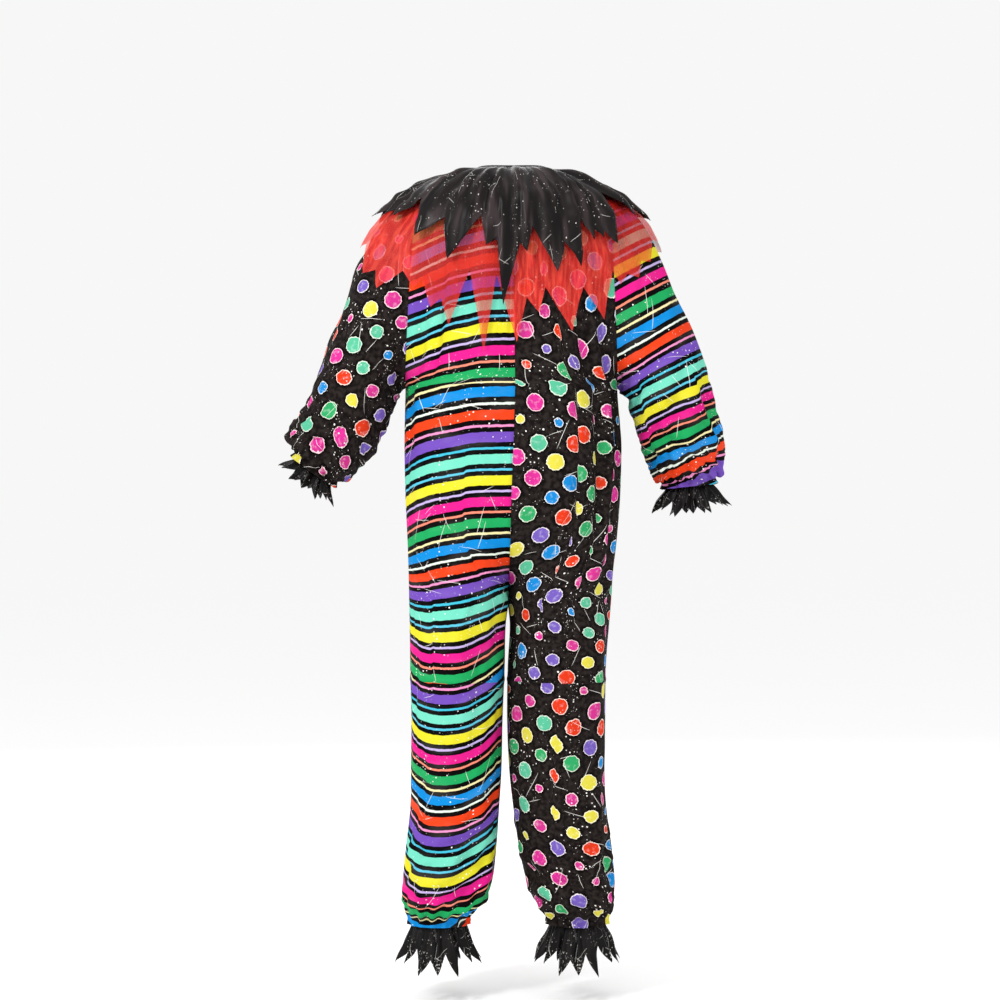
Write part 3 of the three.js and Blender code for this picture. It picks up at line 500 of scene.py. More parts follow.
# Finest parts of the looks: the width of a scratch in the paint, how far it bends in widths and how
# much of its width shows, and the pitch of the knit's ribs and rows.
SCRATCH_WIDTH = 0.0019
SCRATCH_BEND = 6
SCRATCH_RADIUS = 0.20
KNIT_RIB = 0.0016
KNIT_ROW = 0.0012
KNIT_ROUGHNESS = 0.78
KNIT_SPECULAR = 0.05


class Cloth:
    """A cloth's material with its flat coordinates: s across the cloth and t down it, in metres."""

    def __init__(self, name):
        self.material = bpy.data.materials.new(name)
        self.material.use_nodes = True
        self.tree = self.material.node_tree
        self.tree.nodes.clear()
        self.start = Signal(self.tree)
        at = self.start.node("UVMap", {}, uv_map="cloth")
        self.s = at.node("SeparateXYZ", {0: at}, 0)
        self.t = at.node("SeparateXYZ", {0: at}, 1)

    def noise(self, size, detail=2.0, stretch=(1, 1)):
        """Cloudy noise from 0 to 1 with lumps of a size in metres."""
        place = self.place(self.s / (size * stretch[0]), self.t / (size * stretch[1]))
        sockets = {"Vector": place, "Scale": 1.0, "Detail": detail}
        return self.start.node("TexNoise", sockets, noise_dimensions="2D")

    def cells(self, size, feature="F1", spread=1.0, output="Distance", turn=0.0):
        """Scattered points a size apart: the distance to the nearest, in sizes, or its colour."""
        across, down = self.turned(turn)
        return self.scattered(across / size, down / size, output, feature, spread)

    def scattered(self, x, y, output, feature="F1", spread=1.0):
        sockets = {"Vector": self.place(x, y), "Scale": 1.0, "Randomness": spread}
        settings = {"voronoi_dimensions": "2D", "feature": feature}
        return self.start.node("TexVoronoi", sockets, output, **settings)

    def turned(self, turn):
        """The flat coordinates, turned by an angle in radians."""
        across = self.s * math.cos(turn) + self.t * math.sin(turn)
        return across, self.t * math.cos(turn) - self.s * math.sin(turn)

    def place(self, x, y):
        return self.start.node("CombineXYZ", {0: x, 1: y})

    def channel(self, colour, number):
        return self.start.node("SeparateColor", {0: colour}, number)

    def spatter(self, amount=1.0):
        """White paint flicked on the cloth: specks in patches, mist, and short fine scratches."""
        patches = self.noise(0.07, 1.0).over(0.48, 0.62)
        specks = self.specks(0.0075, 0.20, 0.26 * amount) * patches
        drops = self.specks(0.034, 0.055, 0.22 * amount)
        mist = self.specks(0.0040, 0.18, 0.14 * amount) * self.noise(0.05, 0.0).over(0.52, 0.66)
        total = specks + drops + mist
        for turn, length in ((0.3, 0.08), (1.2, 0.11), (1.95, 0.07), (2.7, 0.15)):
            total = total + self.scratches(length, turn, 0.009 * amount)
        return total.math("MINIMUM", 1.0)

    def specks(self, size, radius, share):
        """Round specks, each with its own radius, on a share of the scattered points."""
        chance = self.channel(self.cells(size, output="Color"), 0)
        own = (chance.over(1 - share, 1.0) * 0.8 + 0.2) * radius
        return self.cells(size).math("LESS_THAN", own) * chance.math("GREATER_THAN", 1 - share)

    def scratches(self, length, turn, share):
        """Thin straight scratches at about one angle, on a share of the scattered points."""
        across, down = self.turned(turn)
        bend = (self.noise(0.11, 0.0) - 0.5) * SCRATCH_BEND
        place = across / SCRATCH_WIDTH + bend, down / length
        here = self.channel(self.scattered(*place, "Color"), 0).math("GREATER_THAN", 1 - share)
        return self.scattered(*place, "Distance").math("LESS_THAN", SCRATCH_RADIUS) * here * 0.9

    def knit(self, height=0.25):
        """The fine ribs of a knit and the soft crumple of the cloth, as a bump."""
        ribs = (self.s * (2 * math.pi / KNIT_RIB)).math("SINE")
        rows = (self.t * (2 * math.pi / KNIT_ROW)).math("SINE")
        soft = self.noise(0.018, 3.0, (1, 1.8))
        return self.bump(ribs * rows * 0.12 + soft, height, 0.002)

    def bump(self, lift, strength, distance):
        sockets = {"Height": lift, "Strength": strength, "Distance": distance}
        return self.start.node("Bump", sockets)

    def finish(self, colour, roughness, bump, sheen=0.0, alpha=1.0, specular=0.5):
        sockets = {
            "Base Color": colour,
            "Roughness": roughness,
            "Normal": bump,
            "Alpha": alpha,
            "Sheen Weight": sheen,
            "Specular IOR Level": specular,
        }
        shader = self.start.node("BsdfPrincipled", sockets)
        shader.node("OutputMaterial", {"Surface": shader})
        return self.material


BLACK_DYE = tint("#060405")
WHITE_PAINT = tint("#f2f0ea")
STRIPE_REPEAT = 0.2815
LEG_PRINT_SHIFT = 0.080
STRIPE_WIDE = 0.0178
STRIPE_THIN = 0.0045
STRIPE_START = -0.117
WIDE_STRIPES = ("#ddd42c", "#dc1f86", "#1fa05a", "#0f86cf", "#e6401a", "#6f4bb0", "#6fd2b8")
THIN_STRIPES = ("#b9a6d6", "#e8836c", "#e6d9a0", "#dfe9dc", "#e58abb", "#3fb4cc", "#55b8d2")


def striped_cloth():
    cloth = Cloth("striped knit")
    pitch = STRIPE_REPEAT / len(WIDE_STRIPES)
    gap = (pitch - STRIPE_WIDE - STRIPE_THIN) / 2
    stops = []
    for k, (wide, thin) in enumerate(zip(WIDE_STRIPES, THIN_STRIPES)):
        edges = [0, STRIPE_WIDE, STRIPE_WIDE + gap, STRIPE_WIDE + gap + STRIPE_THIN]
        for edge, colour in zip(edges, (tint(wide), BLACK_DYE, tint(thin), BLACK_DYE)):
            stops.append(((k * pitch + edge) / STRIPE_REPEAT, colour))
    wobble = (cloth.noise(0.012, 3.0) - 0.5) * 0.0022
    along = (cloth.t + wobble - STRIPE_START) / STRIPE_REPEAT
    bands = along.math("FRACT").stepped(stops)
    worn = cloth.noise(0.03, 4.0, (3, 1)).over(0.45, 0.8) * 0.03
    dyed = worn.mixed(bands, tint("#fbf6ee"))
    printed = cloth.spatter(0.8).mixed(dyed, WHITE_PAINT)
    return cloth.finish(printed, KNIT_ROUGHNESS, cloth.knit(), specular=KNIT_SPECULAR)


DOT_PITCH = 0.049
DOT_TURN = 0.70
DOT_SPREAD = 0.18
# Dots come in three sizes, in parts of their pitch: the smallest radius, and the share of the dots
# past which it grows and by how much.
DOT_RADIUS = 0.175
DOT_GROWTH = ((0.26, 0.085), (0.55, 0.065))
DOT_RIM = 0.032
DOT_COLOURS = ("#d8381a", "#cf2f8e", "#2f9f60", "#1782c8", "#d6cc44", "#6f58b0", "#c93488", "#55b690")


def dotted_cloth():
    cloth = Cloth("dotted knit")
    colour_at = cloth.cells(DOT_PITCH, output="Color", spread=DOT_SPREAD, turn=DOT_TURN)
    distance = cloth.cells(DOT_PITCH, spread=DOT_SPREAD, turn=DOT_TURN)
    ragged = distance + (cloth.noise(0.006, 2.0) - 0.5) * 0.09
    size = cloth.channel(colour_at, 0)
    radius = DOT_RADIUS
    for share, grown in DOT_GROWTH:
        radius = radius + size.math("GREATER_THAN", share) * grown
    inside = ragged.math("LESS_THAN", radius)
    rim = ragged.math("GREATER_THAN", radius - DOT_RIM)
    stops = [(k / len(DOT_COLOURS), tint(code)) for k, code in enumerate(DOT_COLOURS)]
    dye = cloth.channel(colour_at, 1).stepped(stops)
    blotched = (cloth.noise(0.009, 3.0).over(0.5, 0.85) * 0.25).mixed(dye, tint("#ffffff"))
    dot = (rim * 0.7).mixed(blotched, tint("#fff6ea"))
    ground = cloth.noise(0.009, 4.0).over(0.3, 0.7).mixed(tint("#120e0d"), tint("#2b2523"))
    ground = ragged.over(radius, radius + 0.16).mixed(tint("#020101"), ground)
    printed = cloth.spatter().mixed(inside.mixed(ground, dot), WHITE_PAINT)
    return cloth.finish(printed, KNIT_ROUGHNESS, cloth.knit(), specular=KNIT_SPECULAR)


STRIPES = striped_cloth()
DOTS = dotted_cloth()


def fine_rows(stretches):
    """The rows of a fine grid, from stretches of a pattern's rows and the steps in each row."""
    rows = [np.linspace(a, b, (b - a) * steps, endpoint=False) for a, b, steps in stretches]
    return np.append(np.concatenate(rows), stretches[-1][1])


def panel(side, face):
    name = f"{face}_{side}"
    rows = fine_rows(ROW_STEPS)
    c, r = np.meshgrid(np.linspace(0, PANEL_COLUMNS, COLUMN_STEPS * PANEL_COLUMNS + 1), rows)
    points = panel_form(side, face, c, r)
    sign = SIDES[side] * (-1 if face == "back" else 1)
    normal = outward(points, sign)
    z = points[..., 2]
    u = column_share(c, z)
    out, hidden = fold_shift(FOLDS[name], u, z)
    s = arc(points, 1)
    t = print_fall(points, u, SAG_SHOWN[side])
    gather = smooth((GATHER_START_Z - z) / (GATHER_START_Z - HEM_Z))
    out += gather * GATHER_DEPTH * np.cos(math.pi * c) * smooth(c) * smooth(PANEL_COLUMNS - c)
    inside = within(u, CRUMPLE_CALM)
    seed = 10 * list(FOLDS).index(name)
    for height, across, down, begin_z, begin_over, end_z, end_over in zip(*CRUMPLES.values()):
        seed += 1
        loose = smooth((begin_z - z) / begin_over) * (1 - smooth((end_z - z) / end_over))
        out += inside * loose * height * crumple(s, t, seed, across, down)
    edge = np.minimum(s, s[:, -1:] - s)
    out -= SEAM_DEPTH * np.exp(-((edge / SEAM_WIDTH) ** 2)) * smooth((z - SEAM_END_Z) / SEAM_END_OVER)
    out -= JOIN_DEPTH * np.exp(-(((z - LEG_JOIN_Z) / SEAM_WIDTH) ** 2))
    if name == "back_left":
        lap = (1 - smooth((s - LAP_WIDTH) / LAP_STEP)) * smooth(s / 0.001)
        out += LAP_HEIGHT * lap * smooth((z - LAP_END_Z) / 0.01)
    points = points + normal * out[..., None]
    s = (s + hidden - s[:, PANEL_MIDDLE : PANEL_MIDDLE + 1]) * SIDES[side]
    t = t - PLEAT_DROP * hidden
    join = int(np.searchsorted(rows, JOIN_ROW))
    slot, dyed = ("stripes", STRIPES) if side == "left" else ("dots", DOTS)
    pieces = ((name, slice(0, join + 1), 0), ("leg_" + name, slice(join, None), LEG_PRINT_SHIFT))
    made = []
    for node, part, shift in pieces:
        cut = s[part], t[part] + shift
        piece = cloth_mesh(node + "_cloth", points[part], *cut, flip=sign > 0)
        hem_to_shell(piece, CLOTH)
        made.append(sew_in(piece, node, dyed))
    return made


panels = [piece for face in ("back", "front") for side in SIDES for piece in panel(side, face)]

# ---- Sleeves -----------------------------------------------------------------------------------
# Full sleeves of the same knit, set into the armholes with the print changed over, and drawn in at
# the wrist by elastic sewn inside, which leaves a narrow printed edge standing past the gathers.

SLEEVE_RINGS = tables("ring out_x out_z in_x in_z mid_y back front", left=[
    (0, 0.178, -0.057, 0.199, -0.415, 0, 0.102, 0.096),
    (1, 0.229, -0.092, 0.206, -0.418, 0, 0.102, 0.096),
    (2, 0.256, -0.135, 0.209, -0.422, 0.002, 0.101, 0.095),
    (3, 0.280, -0.186, 0.211, -0.427, 0.004, 0.099, 0.093),
    (4, 0.305, -0.250, 0.214, -0.436, 0.008, 0.096, 0.090),
    (5, 0.334, -0.315, 0.219, -0.449, 0.011, 0.092, 0.088),
    (6, 0.359, -0.372, 0.227, -0.468, 0.010, 0.088, 0.086),
    (7, 0.376, -0.426, 0.240, -0.494, 0.002, 0.085, 0.084),
    (8, 0.396, -0.468, 0.258, -0.523, -0.012, 0.082, 0.082),
    (9, 0.419, -0.492, 0.281, -0.553, -0.027, 0.076, 0.078),
    (10, 0.424, -0.512, 0.302, -0.578, -0.038, 0.066, 0.068),
    (11, 0.415, -0.527, 0.322, -0.591, -0.046, 0.054, 0.055),
    (12, 0.408, -0.535, 0.334, -0.590, -0.051, 0.046, 0.046),
    (13, 0.420, -0.544, 0.337, -0.603, -0.056, 0.051, 0.051),
], right=[
    (0, -0.178, -0.057, -0.196, -0.415, 0, 0.102, 0.096),
    (1, -0.229, -0.091, -0.203, -0.418, 0, 0.102, 0.096),
    (2, -0.256, -0.132, -0.206, -0.421, 0.002, 0.101, 0.095),
    (3, -0.281, -0.184, -0.208, -0.425, 0.004, 0.099, 0.093),
    (4, -0.309, -0.246, -0.211, -0.433, 0.008, 0.096, 0.090),
    (5, -0.337, -0.310, -0.216, -0.444, 0.011, 0.092, 0.088),
    (6, -0.360, -0.366, -0.223, -0.460, 0.010, 0.088, 0.086),
    (7, -0.375, -0.424, -0.233, -0.484, 0.002, 0.085, 0.084),
    (8, -0.389, -0.480, -0.245, -0.518, -0.012, 0.082, 0.082),
    (9, -0.399, -0.528, -0.256, -0.552, -0.027, 0.077, 0.079),
    (10, -0.402, -0.556, -0.264, -0.575, -0.038, 0.067, 0.069),
    (11, -0.394, -0.574, -0.274, -0.588, -0.046, 0.056, 0.057),
    (12, -0.384, -0.583, -0.288, -0.592, -0.051, 0.046, 0.046),
    (13, -0.390, -0.595, -0.285, -0.606, -0.056, 0.051, 0.051),
])
SLEEVE_AXIS = {"left": (0.46, -0.888), "right": (-0.475, -0.880)}
SLEEVE_GATHER_FROM = 8
SLEEVE_SIDES = 2 * TOP_ROWS
SLEEVE_STEPS = ((0, 9, 8), (9, 13, 10))
# The column down the middle of a sleeve's back, from which its print is measured.
SLEEVE_MIDDLE = COLUMN_STEPS * SLEEVE_SIDES * 3 // 4
SLEEVE_SEEDS = {"left": 50, "right": 60}
# The plain tube that a sleeve's crumple is laid out on.
TUBE_RADIUS = 0.16
TUBE_RING = 0.06

# How far a sleeve's print has slipped along it where the cloth sinks to the cuff, and its lean.
SLEEVE_PRINT = tables("along moved lean", left=[(0, 0, 0), (0.5, 0, 0), (1, 0, 0)], right=[
    (0.31, -0.099, 0.02),
    (0.46, -0.090, -0.02),
    (0.535, -0.080, -0.05),
    (0.595, -0.060, -0.11),
    (0.655, -0.038, -0.16),
    (0.72, -0.015, -0.18),
])

# Folds across a sleeve: turn is radians round from its outer side over the back, span their reach
# round it, ring and rise where they lie along it and how much they climb, depth out of the cloth.
SLEEVE_FOLDS = tables("turn span ring rise width depth", left=[
    (2.5, 0.9, 5.0, 1.6, 0.32, -0.009),
    (2.2, 0.8, 6.6, 1.2, 0.30, -0.008),
    (1.4, 0.9, 7.4, -0.8, 0.30, 0.007),
    (2.7, 0.7, 8.4, 0.9, 0.30, -0.008),
    (1.0, 0.7, 9.0, 0.8, 0.28, -0.007),
    (4.2, 0.9, 6.0, -1.2, 0.32, -0.008),
    (4.8, 0.9, 8.0, -0.9, 0.32, 0.007),
], right=[
    (2.5, 0.9, 5.4, 1.4, 0.32, -0.008),
    (2.0, 0.8, 7.2, 1.0, 0.30, -0.007),
    (1.2, 0.9, 8.3, -0.6, 0.30, 0.006),
    (2.6, 0.8, 8.9, 0.8, 0.28, -0.008),
    (4.2, 0.9, 6.4, -1.1, 0.32, -0.008),
    (4.8, 0.9, 8.4, -0.8, 0.32, 0.007),
])

# Sharp pleats over a sleeve's back, like the panels' own, from its inner to its outer side, with the
# sleeve's rings, negated, as their levels.
SLEEVE_PLEATS = tables(FOLD_COLUMNS, left=[(0.46, -0.08, -5.4, -10.6, 0.10, 0.003, 0.006)], right=[
    (0.30, -0.14, -3.4, -10.6, 0.08, 0.003, 0.007),
    (0.67, 0.13, -5.8, -11.2, 0.07, 0.004, 0.014),
])


def sleeve_form(side, a, q):
    """Points of a sleeve at column a round it and ring q along it."""
    ring = between(SLEEVE_RINGS[side], "ring", q)
    angle = a * math.pi / TOP_ROWS
    across = (1 - np.cos(angle)) / 2
    depth = np.sin(angle) * np.where(np.sin(angle) > 0, ring["back"], ring["front"])
    x = lerp(ring["out_x"], ring["in_x"], across)
    z = lerp(ring["out_z"], ring["in_z"], across)
    return np.stack([x, ring["mid_y"] + depth, z], -1)


def sleeve(side):
    name = "sleeve_" + side
    rings = fine_rows(SLEEVE_STEPS)
    columns = TOP_ROWS + np.arange(COLUMN_STEPS * SLEEVE_SIDES) / COLUMN_STEPS
    a, q = np.meshgrid(columns, rings)
    points = sleeve_form(side, a, q)
    sign = -SIDES[side]
    normal = outward(points, sign, ring=True)
    turn = a * math.pi / TOP_ROWS
    gather = smooth((q - SLEEVE_GATHER_FROM) / (rings[-1] - SLEEVE_GATHER_FROM))
    out = gather * GATHER_DEPTH * np.cos(math.pi * a)
    for at, span, ring, rise, width, depth in zip(*SLEEVE_FOLDS[side].values()):
        apart = (turn - at + math.pi) % (2 * math.pi) - math.pi
        away = (q - ring - rise * apart) / width
        out += depth * np.exp(-away * away) * smooth(1 - np.abs(apart) / span)
    behind = 1 - (turn - 2 * math.pi) / math.pi
    behind = np.where(behind > 1, behind - 2, behind)
    raised, hidden = fold_shift(SLEEVE_PLEATS[side], behind, -q)
    passed = fold_shift(SLEEVE_PLEATS[side], np.ones_like(q), -q)[1]
    hidden = np.where(behind < 0, passed * smooth(-behind), hidden)
    out += raised
    loose = smooth(q / 2) * (1 - smooth((q - 11) / 1.5))
    x, y, t = TUBE_RADIUS * np.cos(turn), TUBE_RADIUS * np.sin(turn), TUBE_RING * q
    seed = SLEEVE_SEEDS[side]
    out += loose * 0.0024 * crumple(x + t, y, seed, 0.20, 0.20)
    out += loose * smooth((q - 5) / 3) * 0.0022 * crumple(x - t, y + t, seed + 1, 0.10, 0.10)
    points = points + normal * out[..., None]
    axis = np.array([SLEEVE_AXIS[side][0], 0, SLEEVE_AXIS[side][1]])
    form = closed(sleeve_form(side, a, q))
    across = np.array([axis[2], 0, -axis[0]])
    round_ = arc(form - (form @ axis)[..., None] * axis, 1)
    middle = slice(SLEEVE_MIDDLE, SLEEVE_MIDDLE + 1)
    round_ += SIDES[side] * form[:, middle] @ across - round_[:, middle]
    along, beside = form @ axis, (form - form[:, :-1].mean(1, keepdims=True)) @ across
    slips = SLEEVE_PRINT[side]
    slip = between(slips, "along", np.clip(along, slips["along"][0], slips["along"][-1]))
    along = along + slip["moved"] + slip["lean"] * beside + closed(hidden)
    piece = cloth_mesh(name + "_cloth", points, round_, along, ring=True, flip=sign > 0)
    hem_to_shell(piece, CLOTH)
    slot, dyed = ("dots", DOTS) if side == "left" else ("stripes", STRIPES)
    return sew_in(piece, name, dyed)


sleeves = [sleeve(side) for side in SIDES]

# ---- Cuff and hem frills -----------------------------------------------------------------------
# Strips of black satin cut into uneven points, gathered and sewn inside each elastic edge, so that
# they stand out below the printed knit. Their cut edges are left raw.

FRILL_CLOTH = 0.0007
FRILL_NOTCHES = (0.058, 0.066, 0.054, 0.070, 0.060, 0.050, 0.064)
FRILL_TIPS = (0.096, 0.088, 0.102, 0.092, 0.104, 0.086, 0.098)
FRILL_REPEATS = 2
FRILL_STEPS = 10
FRILL_ROWS = 24
# A frill starts inside the elastic, spreads from a short way down, and waves from point to point. It
# is a little shorter at its two sides.
FRILL_TUCK = 0.009
FRILL_INSET = 0.008
FRILL_FREE = 0.008
FRILL_WAVE = 0.005
FRILL_SHORT_SIDES = 0.17
FRILL_RADIUS = 0.12
FRILL_PRINT_RADIUS = 0.121
HEM_FRILL_FLARE = 0.35
CUFF_FRILL_FLARE = 0.6
HEM_FRILL_START = 0.004
CUFF_FRILL_START = 0.003
CUFF_FRILL_LENGTH = {"left": 0.52, "right": 0.68}
CUFF_FRILL_DROOP = {"left": 0.1, "right": 0.5}
DOWN = np.array([0.0, 0.0, -1.0])


def satin_cloth(name, spattered, dark, lit, shining):
    cloth = Cloth(name)
    # The sheen noise paints light and shade into the satin's colour in soft streaks down the cloth: dark
    # is painted shade, lit and shining are painted highlights.
    sheen = cloth.noise(0.05, 1.0, (0.6, 2.0))
    ground = sheen.over(0.3, 0.52).mixed(tint(dark), tint(lit))
    ground = sheen.over(0.48, 0.74).mixed(ground, tint(shining))
    # A black line where the back's lap steps down is a painted shadow along the lap's edge, from the
    # neck to about 0.16 m down.
    closing_shadow = (cloth.s + 0.003).math("ABSOLUTE")
    closing_shadow = (1 - closing_shadow.over(0.0006, 0.0014)) * (1 - cloth.t.over(0.155, 0.165))
    ground = closing_shadow.mixed(ground, tint("#000000"))
    specks = cloth.spatter(spattered) * cloth.t.over(0.0, 0.05) * 0.85
    printed = specks.mixed(ground, tint("#e2dfd9"))
    gloss = 0.36 + cloth.noise(0.02, 2.0) * 0.10
    creases = cloth.noise(0.06, 1.0, (0.6, 2.0)) + cloth.noise(0.0025, 1.0) * 0.015
    return cloth.finish(printed, gloss, cloth.bump(creases, 0.35, 0.006), specular=0.13)


SATIN = satin_cloth("black satin", 0.7, "#0c0808", "#191313", "#352c2d")
# The frills take a darker copy of the same satin: painted shade over the whole frill, with weaker
# painted highlights.
FRILL_SATIN = satin_cloth("spattered satin", 3.0, "#020101", "#090707", "#181414")


def jagged(turns, lengths, steps):
    """Turn, length and count along an edge of notches and tips, in steps from each to the next."""
    at = np.arange(len(turns))
    k = np.arange((len(turns) - 1) * steps) / steps
    return np.interp(k, at, turns), np.interp(k, at, lengths), k


def hem_ring(side):
    """The elastic's ring that a hem frill hangs from."""
    row = {name: column[-2] for name, column in SECTIONS.items()}
    inner, outer = row[side + "_in"], row[side + "_out"]
    return {
        "centre": np.array([(inner + outer) / 2, row["mid_y"], row["z"] - HEM_FRILL_START]),
        "half": np.array([abs(outer - inner) / 2 - FRILL_INSET, 0, 0]),
        "depth": np.array([0, row["front"] - FRILL_INSET, 0]),
        "along": DOWN,
        "hang": DOWN,
        "flare": HEM_FRILL_FLARE,
        "flip": True,
    }


def cuff_ring(side):
    """The elastic's ring that a cuff frill hangs from."""
    elastic, edge = [{n: column[k] for n, column in SLEEVE_RINGS[side].items()} for k in (-2, -1)]
    outer = lambda ring: np.array([ring["out_x"], ring["mid_y"], ring["out_z"]])
    inner = lambda ring: np.array([ring["in_x"], ring["mid_y"], ring["in_z"]])
    centre_of = lambda ring: (outer(ring) + inner(ring)) / 2
    centre = centre_of(elastic)
    along = unit(centre_of(edge) - centre)
    half = outer(elastic) - centre
    return {
        "centre": centre + along * CUFF_FRILL_START,
        "half": unit(half) * (np.linalg.norm(half) - FRILL_INSET),
        "depth": np.array([0, elastic["back"] - FRILL_INSET, 0]),
        "along": along,
        "hang": unit(lerp(along, DOWN, CUFF_FRILL_DROOP[side])),
        "flare": CUFF_FRILL_FLARE,
        "flip": side == "left",
    }


def frill(name, ring, scale, seed):
    lengths = np.tile(np.ravel(np.column_stack([FRILL_NOTCHES, FRILL_TIPS])), FRILL_REPEATS) * scale
    turns = np.linspace(0, 2 * math.pi, len(lengths) + 1)
    turns, length, k = jagged(turns, np.append(lengths, lengths[0]), FRILL_STEPS)
    turn, share = np.meshgrid(turns, np.linspace(0, 1, FRILL_ROWS + 1))
    length = length * (1 - FRILL_SHORT_SIDES * np.abs(np.cos(turn)))
    along = length * share - FRILL_TUCK * (1 - share)
    radial = np.cos(turn)[..., None] * ring["half"] + np.sin(turn)[..., None] * ring["depth"]
    radius = np.linalg.norm(radial, axis=-1)
    grow = 1 + ring["flare"] * np.maximum(0, along - FRILL_FREE) / np.linalg.norm(ring["half"])
    ripple = -np.cos(math.pi * k) * FRILL_WAVE * smooth(share)
    ripple += 0.0016 * np.sin(math.pi * (2 * k + 0.4)) * smooth(3 * share)
    x, y = FRILL_RADIUS * np.cos(turn), FRILL_RADIUS * np.sin(turn)
    ripple += 0.003 * smooth(share) * crumple(x + along, y, seed, 0.09, 0.09)
    bend = smooth(share * 1.4 - 0.2)[..., None]
    way = unit(lerp(ring["along"], ring["hang"], bend))
    reach = (radius * grow + ripple)[..., None]
    points = ring["centre"] + radial / radius[..., None] * reach + way * along[..., None]
    cut = FRILL_PRINT_RADIUS * np.concatenate([turn, np.full((len(turn), 1), 2 * math.pi)], 1)
    piece = cloth_mesh(name + "_cloth", points, cut, closed(along), ring=True, flip=ring["flip"])
    hem_to_shell(piece, FRILL_CLOTH)
    sew_in(piece, name, FRILL_SATIN)


for side in SIDES:
    frill("cuff_frill_" + side, cuff_ring(side), CUFF_FRILL_LENGTH[side], 70 + SIDES[side])
    frill("hem_frill_" + side, hem_ring(side), 1.0, 80 + SIDES[side])

# ---- Mesh collar -------------------------------------------------------------------------------
# A round of stiff red mesh, cut into long uneven points, gathered into the neckband and spread over
# the shoulders and the tops of the sleeves. It lies under the satin collar and shows past it.

# Collars are laid along paths over the cloth below, which rays towards a centre in the chest find.
COLLAR_CENTRE = np.array([0.0, 0.0, -0.2])
RAY_FROM = 1.2
PATH_DOWNS = np.radians(np.arange(2, 151, 2))
DRAPE_ROUNDS = 30
COLLAR_CLEAR = 0.0016
COLLAR_RADIUS = 0.16
COLLAR_PRINT_RADIUS = 0.30
COLLAR_STEPS = 7
# Points of a collar behind, in degrees round from the middle of the back and metres of length.
POINT_COLUMNS = "notch_at notch tip_at tip"
MESH_POINTS = table(
    POINT_COLUMNS,
    (-88, 0.236, -83, 0.246),
    (-77, 0.238, -71, 0.272),
    (-69, 0.262, -66, 0.288),
    (-64, 0.274, -61.5, 0.288),
    (-59, 0.262, -55, 0.344),
    (-44, 0.280, -38, 0.352),
    (-22, 0.266, -18, 0.308),
    (-10, 0.280, -3, 0.360),
    (11, 0.240, 19, 0.382),
    (28, 0.238, 41, 0.344),
    (44, 0.300, 48, 0.318),
    (54, 0.272, 57, 0.290),
    (62, 0.266, 68, 0.312),
    (70, 0.284, 74, 0.300),
    (80, 0.250, 86, 0.262),
)


def mesh_cloth():
    cloth = Cloth("red mesh")
    # The red varies at random in tone, and its lighter end also stands for painted highlights on the
    # mesh's crumples.
    tone_and_crumple_highlights = cloth.noise(0.016, 3.0, (0.6, 2.4)).over(0.36, 0.70).mixed(tint("#da1a11"), tint("#fb4632"))
    net = cloth.cells(0.0026, feature="DISTANCE_TO_EDGE", spread=0.3)
    threads = 1 - net.over(0.12, 0.42)
    gathered = cloth.noise(0.036, 3.0, (0.7, 1.9)).over(0.35, 0.72)
    single = cloth.s.over(0.0, 0.03) * (1 - cloth.s.over(0.27, 0.33))
    single = single + cloth.s.over(-0.46, -0.42) * (1 - cloth.s.over(-0.35, -0.29))
    tone_and_crumple_highlights = single.mixed(tone_and_crumple_highlights, tint("#d41b12"))
    alpha = 0.50 + threads * 0.06 + gathered * (0.17 - single * 0.09) - single * 0.02
    return cloth.finish(tone_and_crumple_highlights, 0.6, cloth.bump(threads, 0.2, 0.001), alpha=alpha, specular=0.4)


def directions(turn, down):
    across = np.sin(down)
    return np.stack([np.sin(turn) * across, np.cos(turn) * across, np.cos(down) + 0 * turn], -1)


def tree_of(pieces):
    """The faces of several pieces as one tree to meet with rays."""
    vertices, faces = [], []
    for piece in pieces:
        start = len(vertices)
        vertices += [v.co.copy() for v in piece.data.vertices]
        faces += [[start + i for i in face.vertices] for face in piece.data.polygons]
    return BVHTree.FromPolygons(vertices, faces)


def reach_over(tree, turns):
    """How far the cloth below reaches from the centre, for each turn and each angle down."""
    ways = directions(turns[None, :], PATH_DOWNS[:, None])
    reach = np.zeros(ways.shape[:2])
    for place in np.ndindex(reach.shape):
        way = Vector(ways[place])
        hit = tree.ray_cast(Vector(COLLAR_CENTRE) + way * RAY_FROM, -way, RAY_FROM)
        reach[place] = RAY_FROM - hit[3] if hit[0] is not None else 0
    return reach


def draped(reach):
    """The reach of cloth that bridges hollows instead of following them."""
    for _ in range(DRAPE_ROUNDS):
        near = (np.roll(reach, 1, 1) + np.roll(reach, -1, 1)) / 2
        below = np.vstack([reach[:1], (reach[:-2] + reach[2:]) / 2, reach[-1:]])
        reach = np.maximum(reach, (near + below) / 2)
    return reach


def collar_edge(points):
    """A collar's edge, whose points behind are carried on once more round the front."""
    turns = np.radians(np.ravel(np.column_stack([points["notch_at"], points["tip_at"]])))
    lengths = np.ravel(np.column_stack([points["notch"], points["tip"]]))
    turns = np.concatenate([turns, turns + math.pi, turns[:1] + 2 * math.pi])
    return jagged(turns, np.concatenate([lengths, lengths, lengths[:1]]), COLLAR_STEPS)


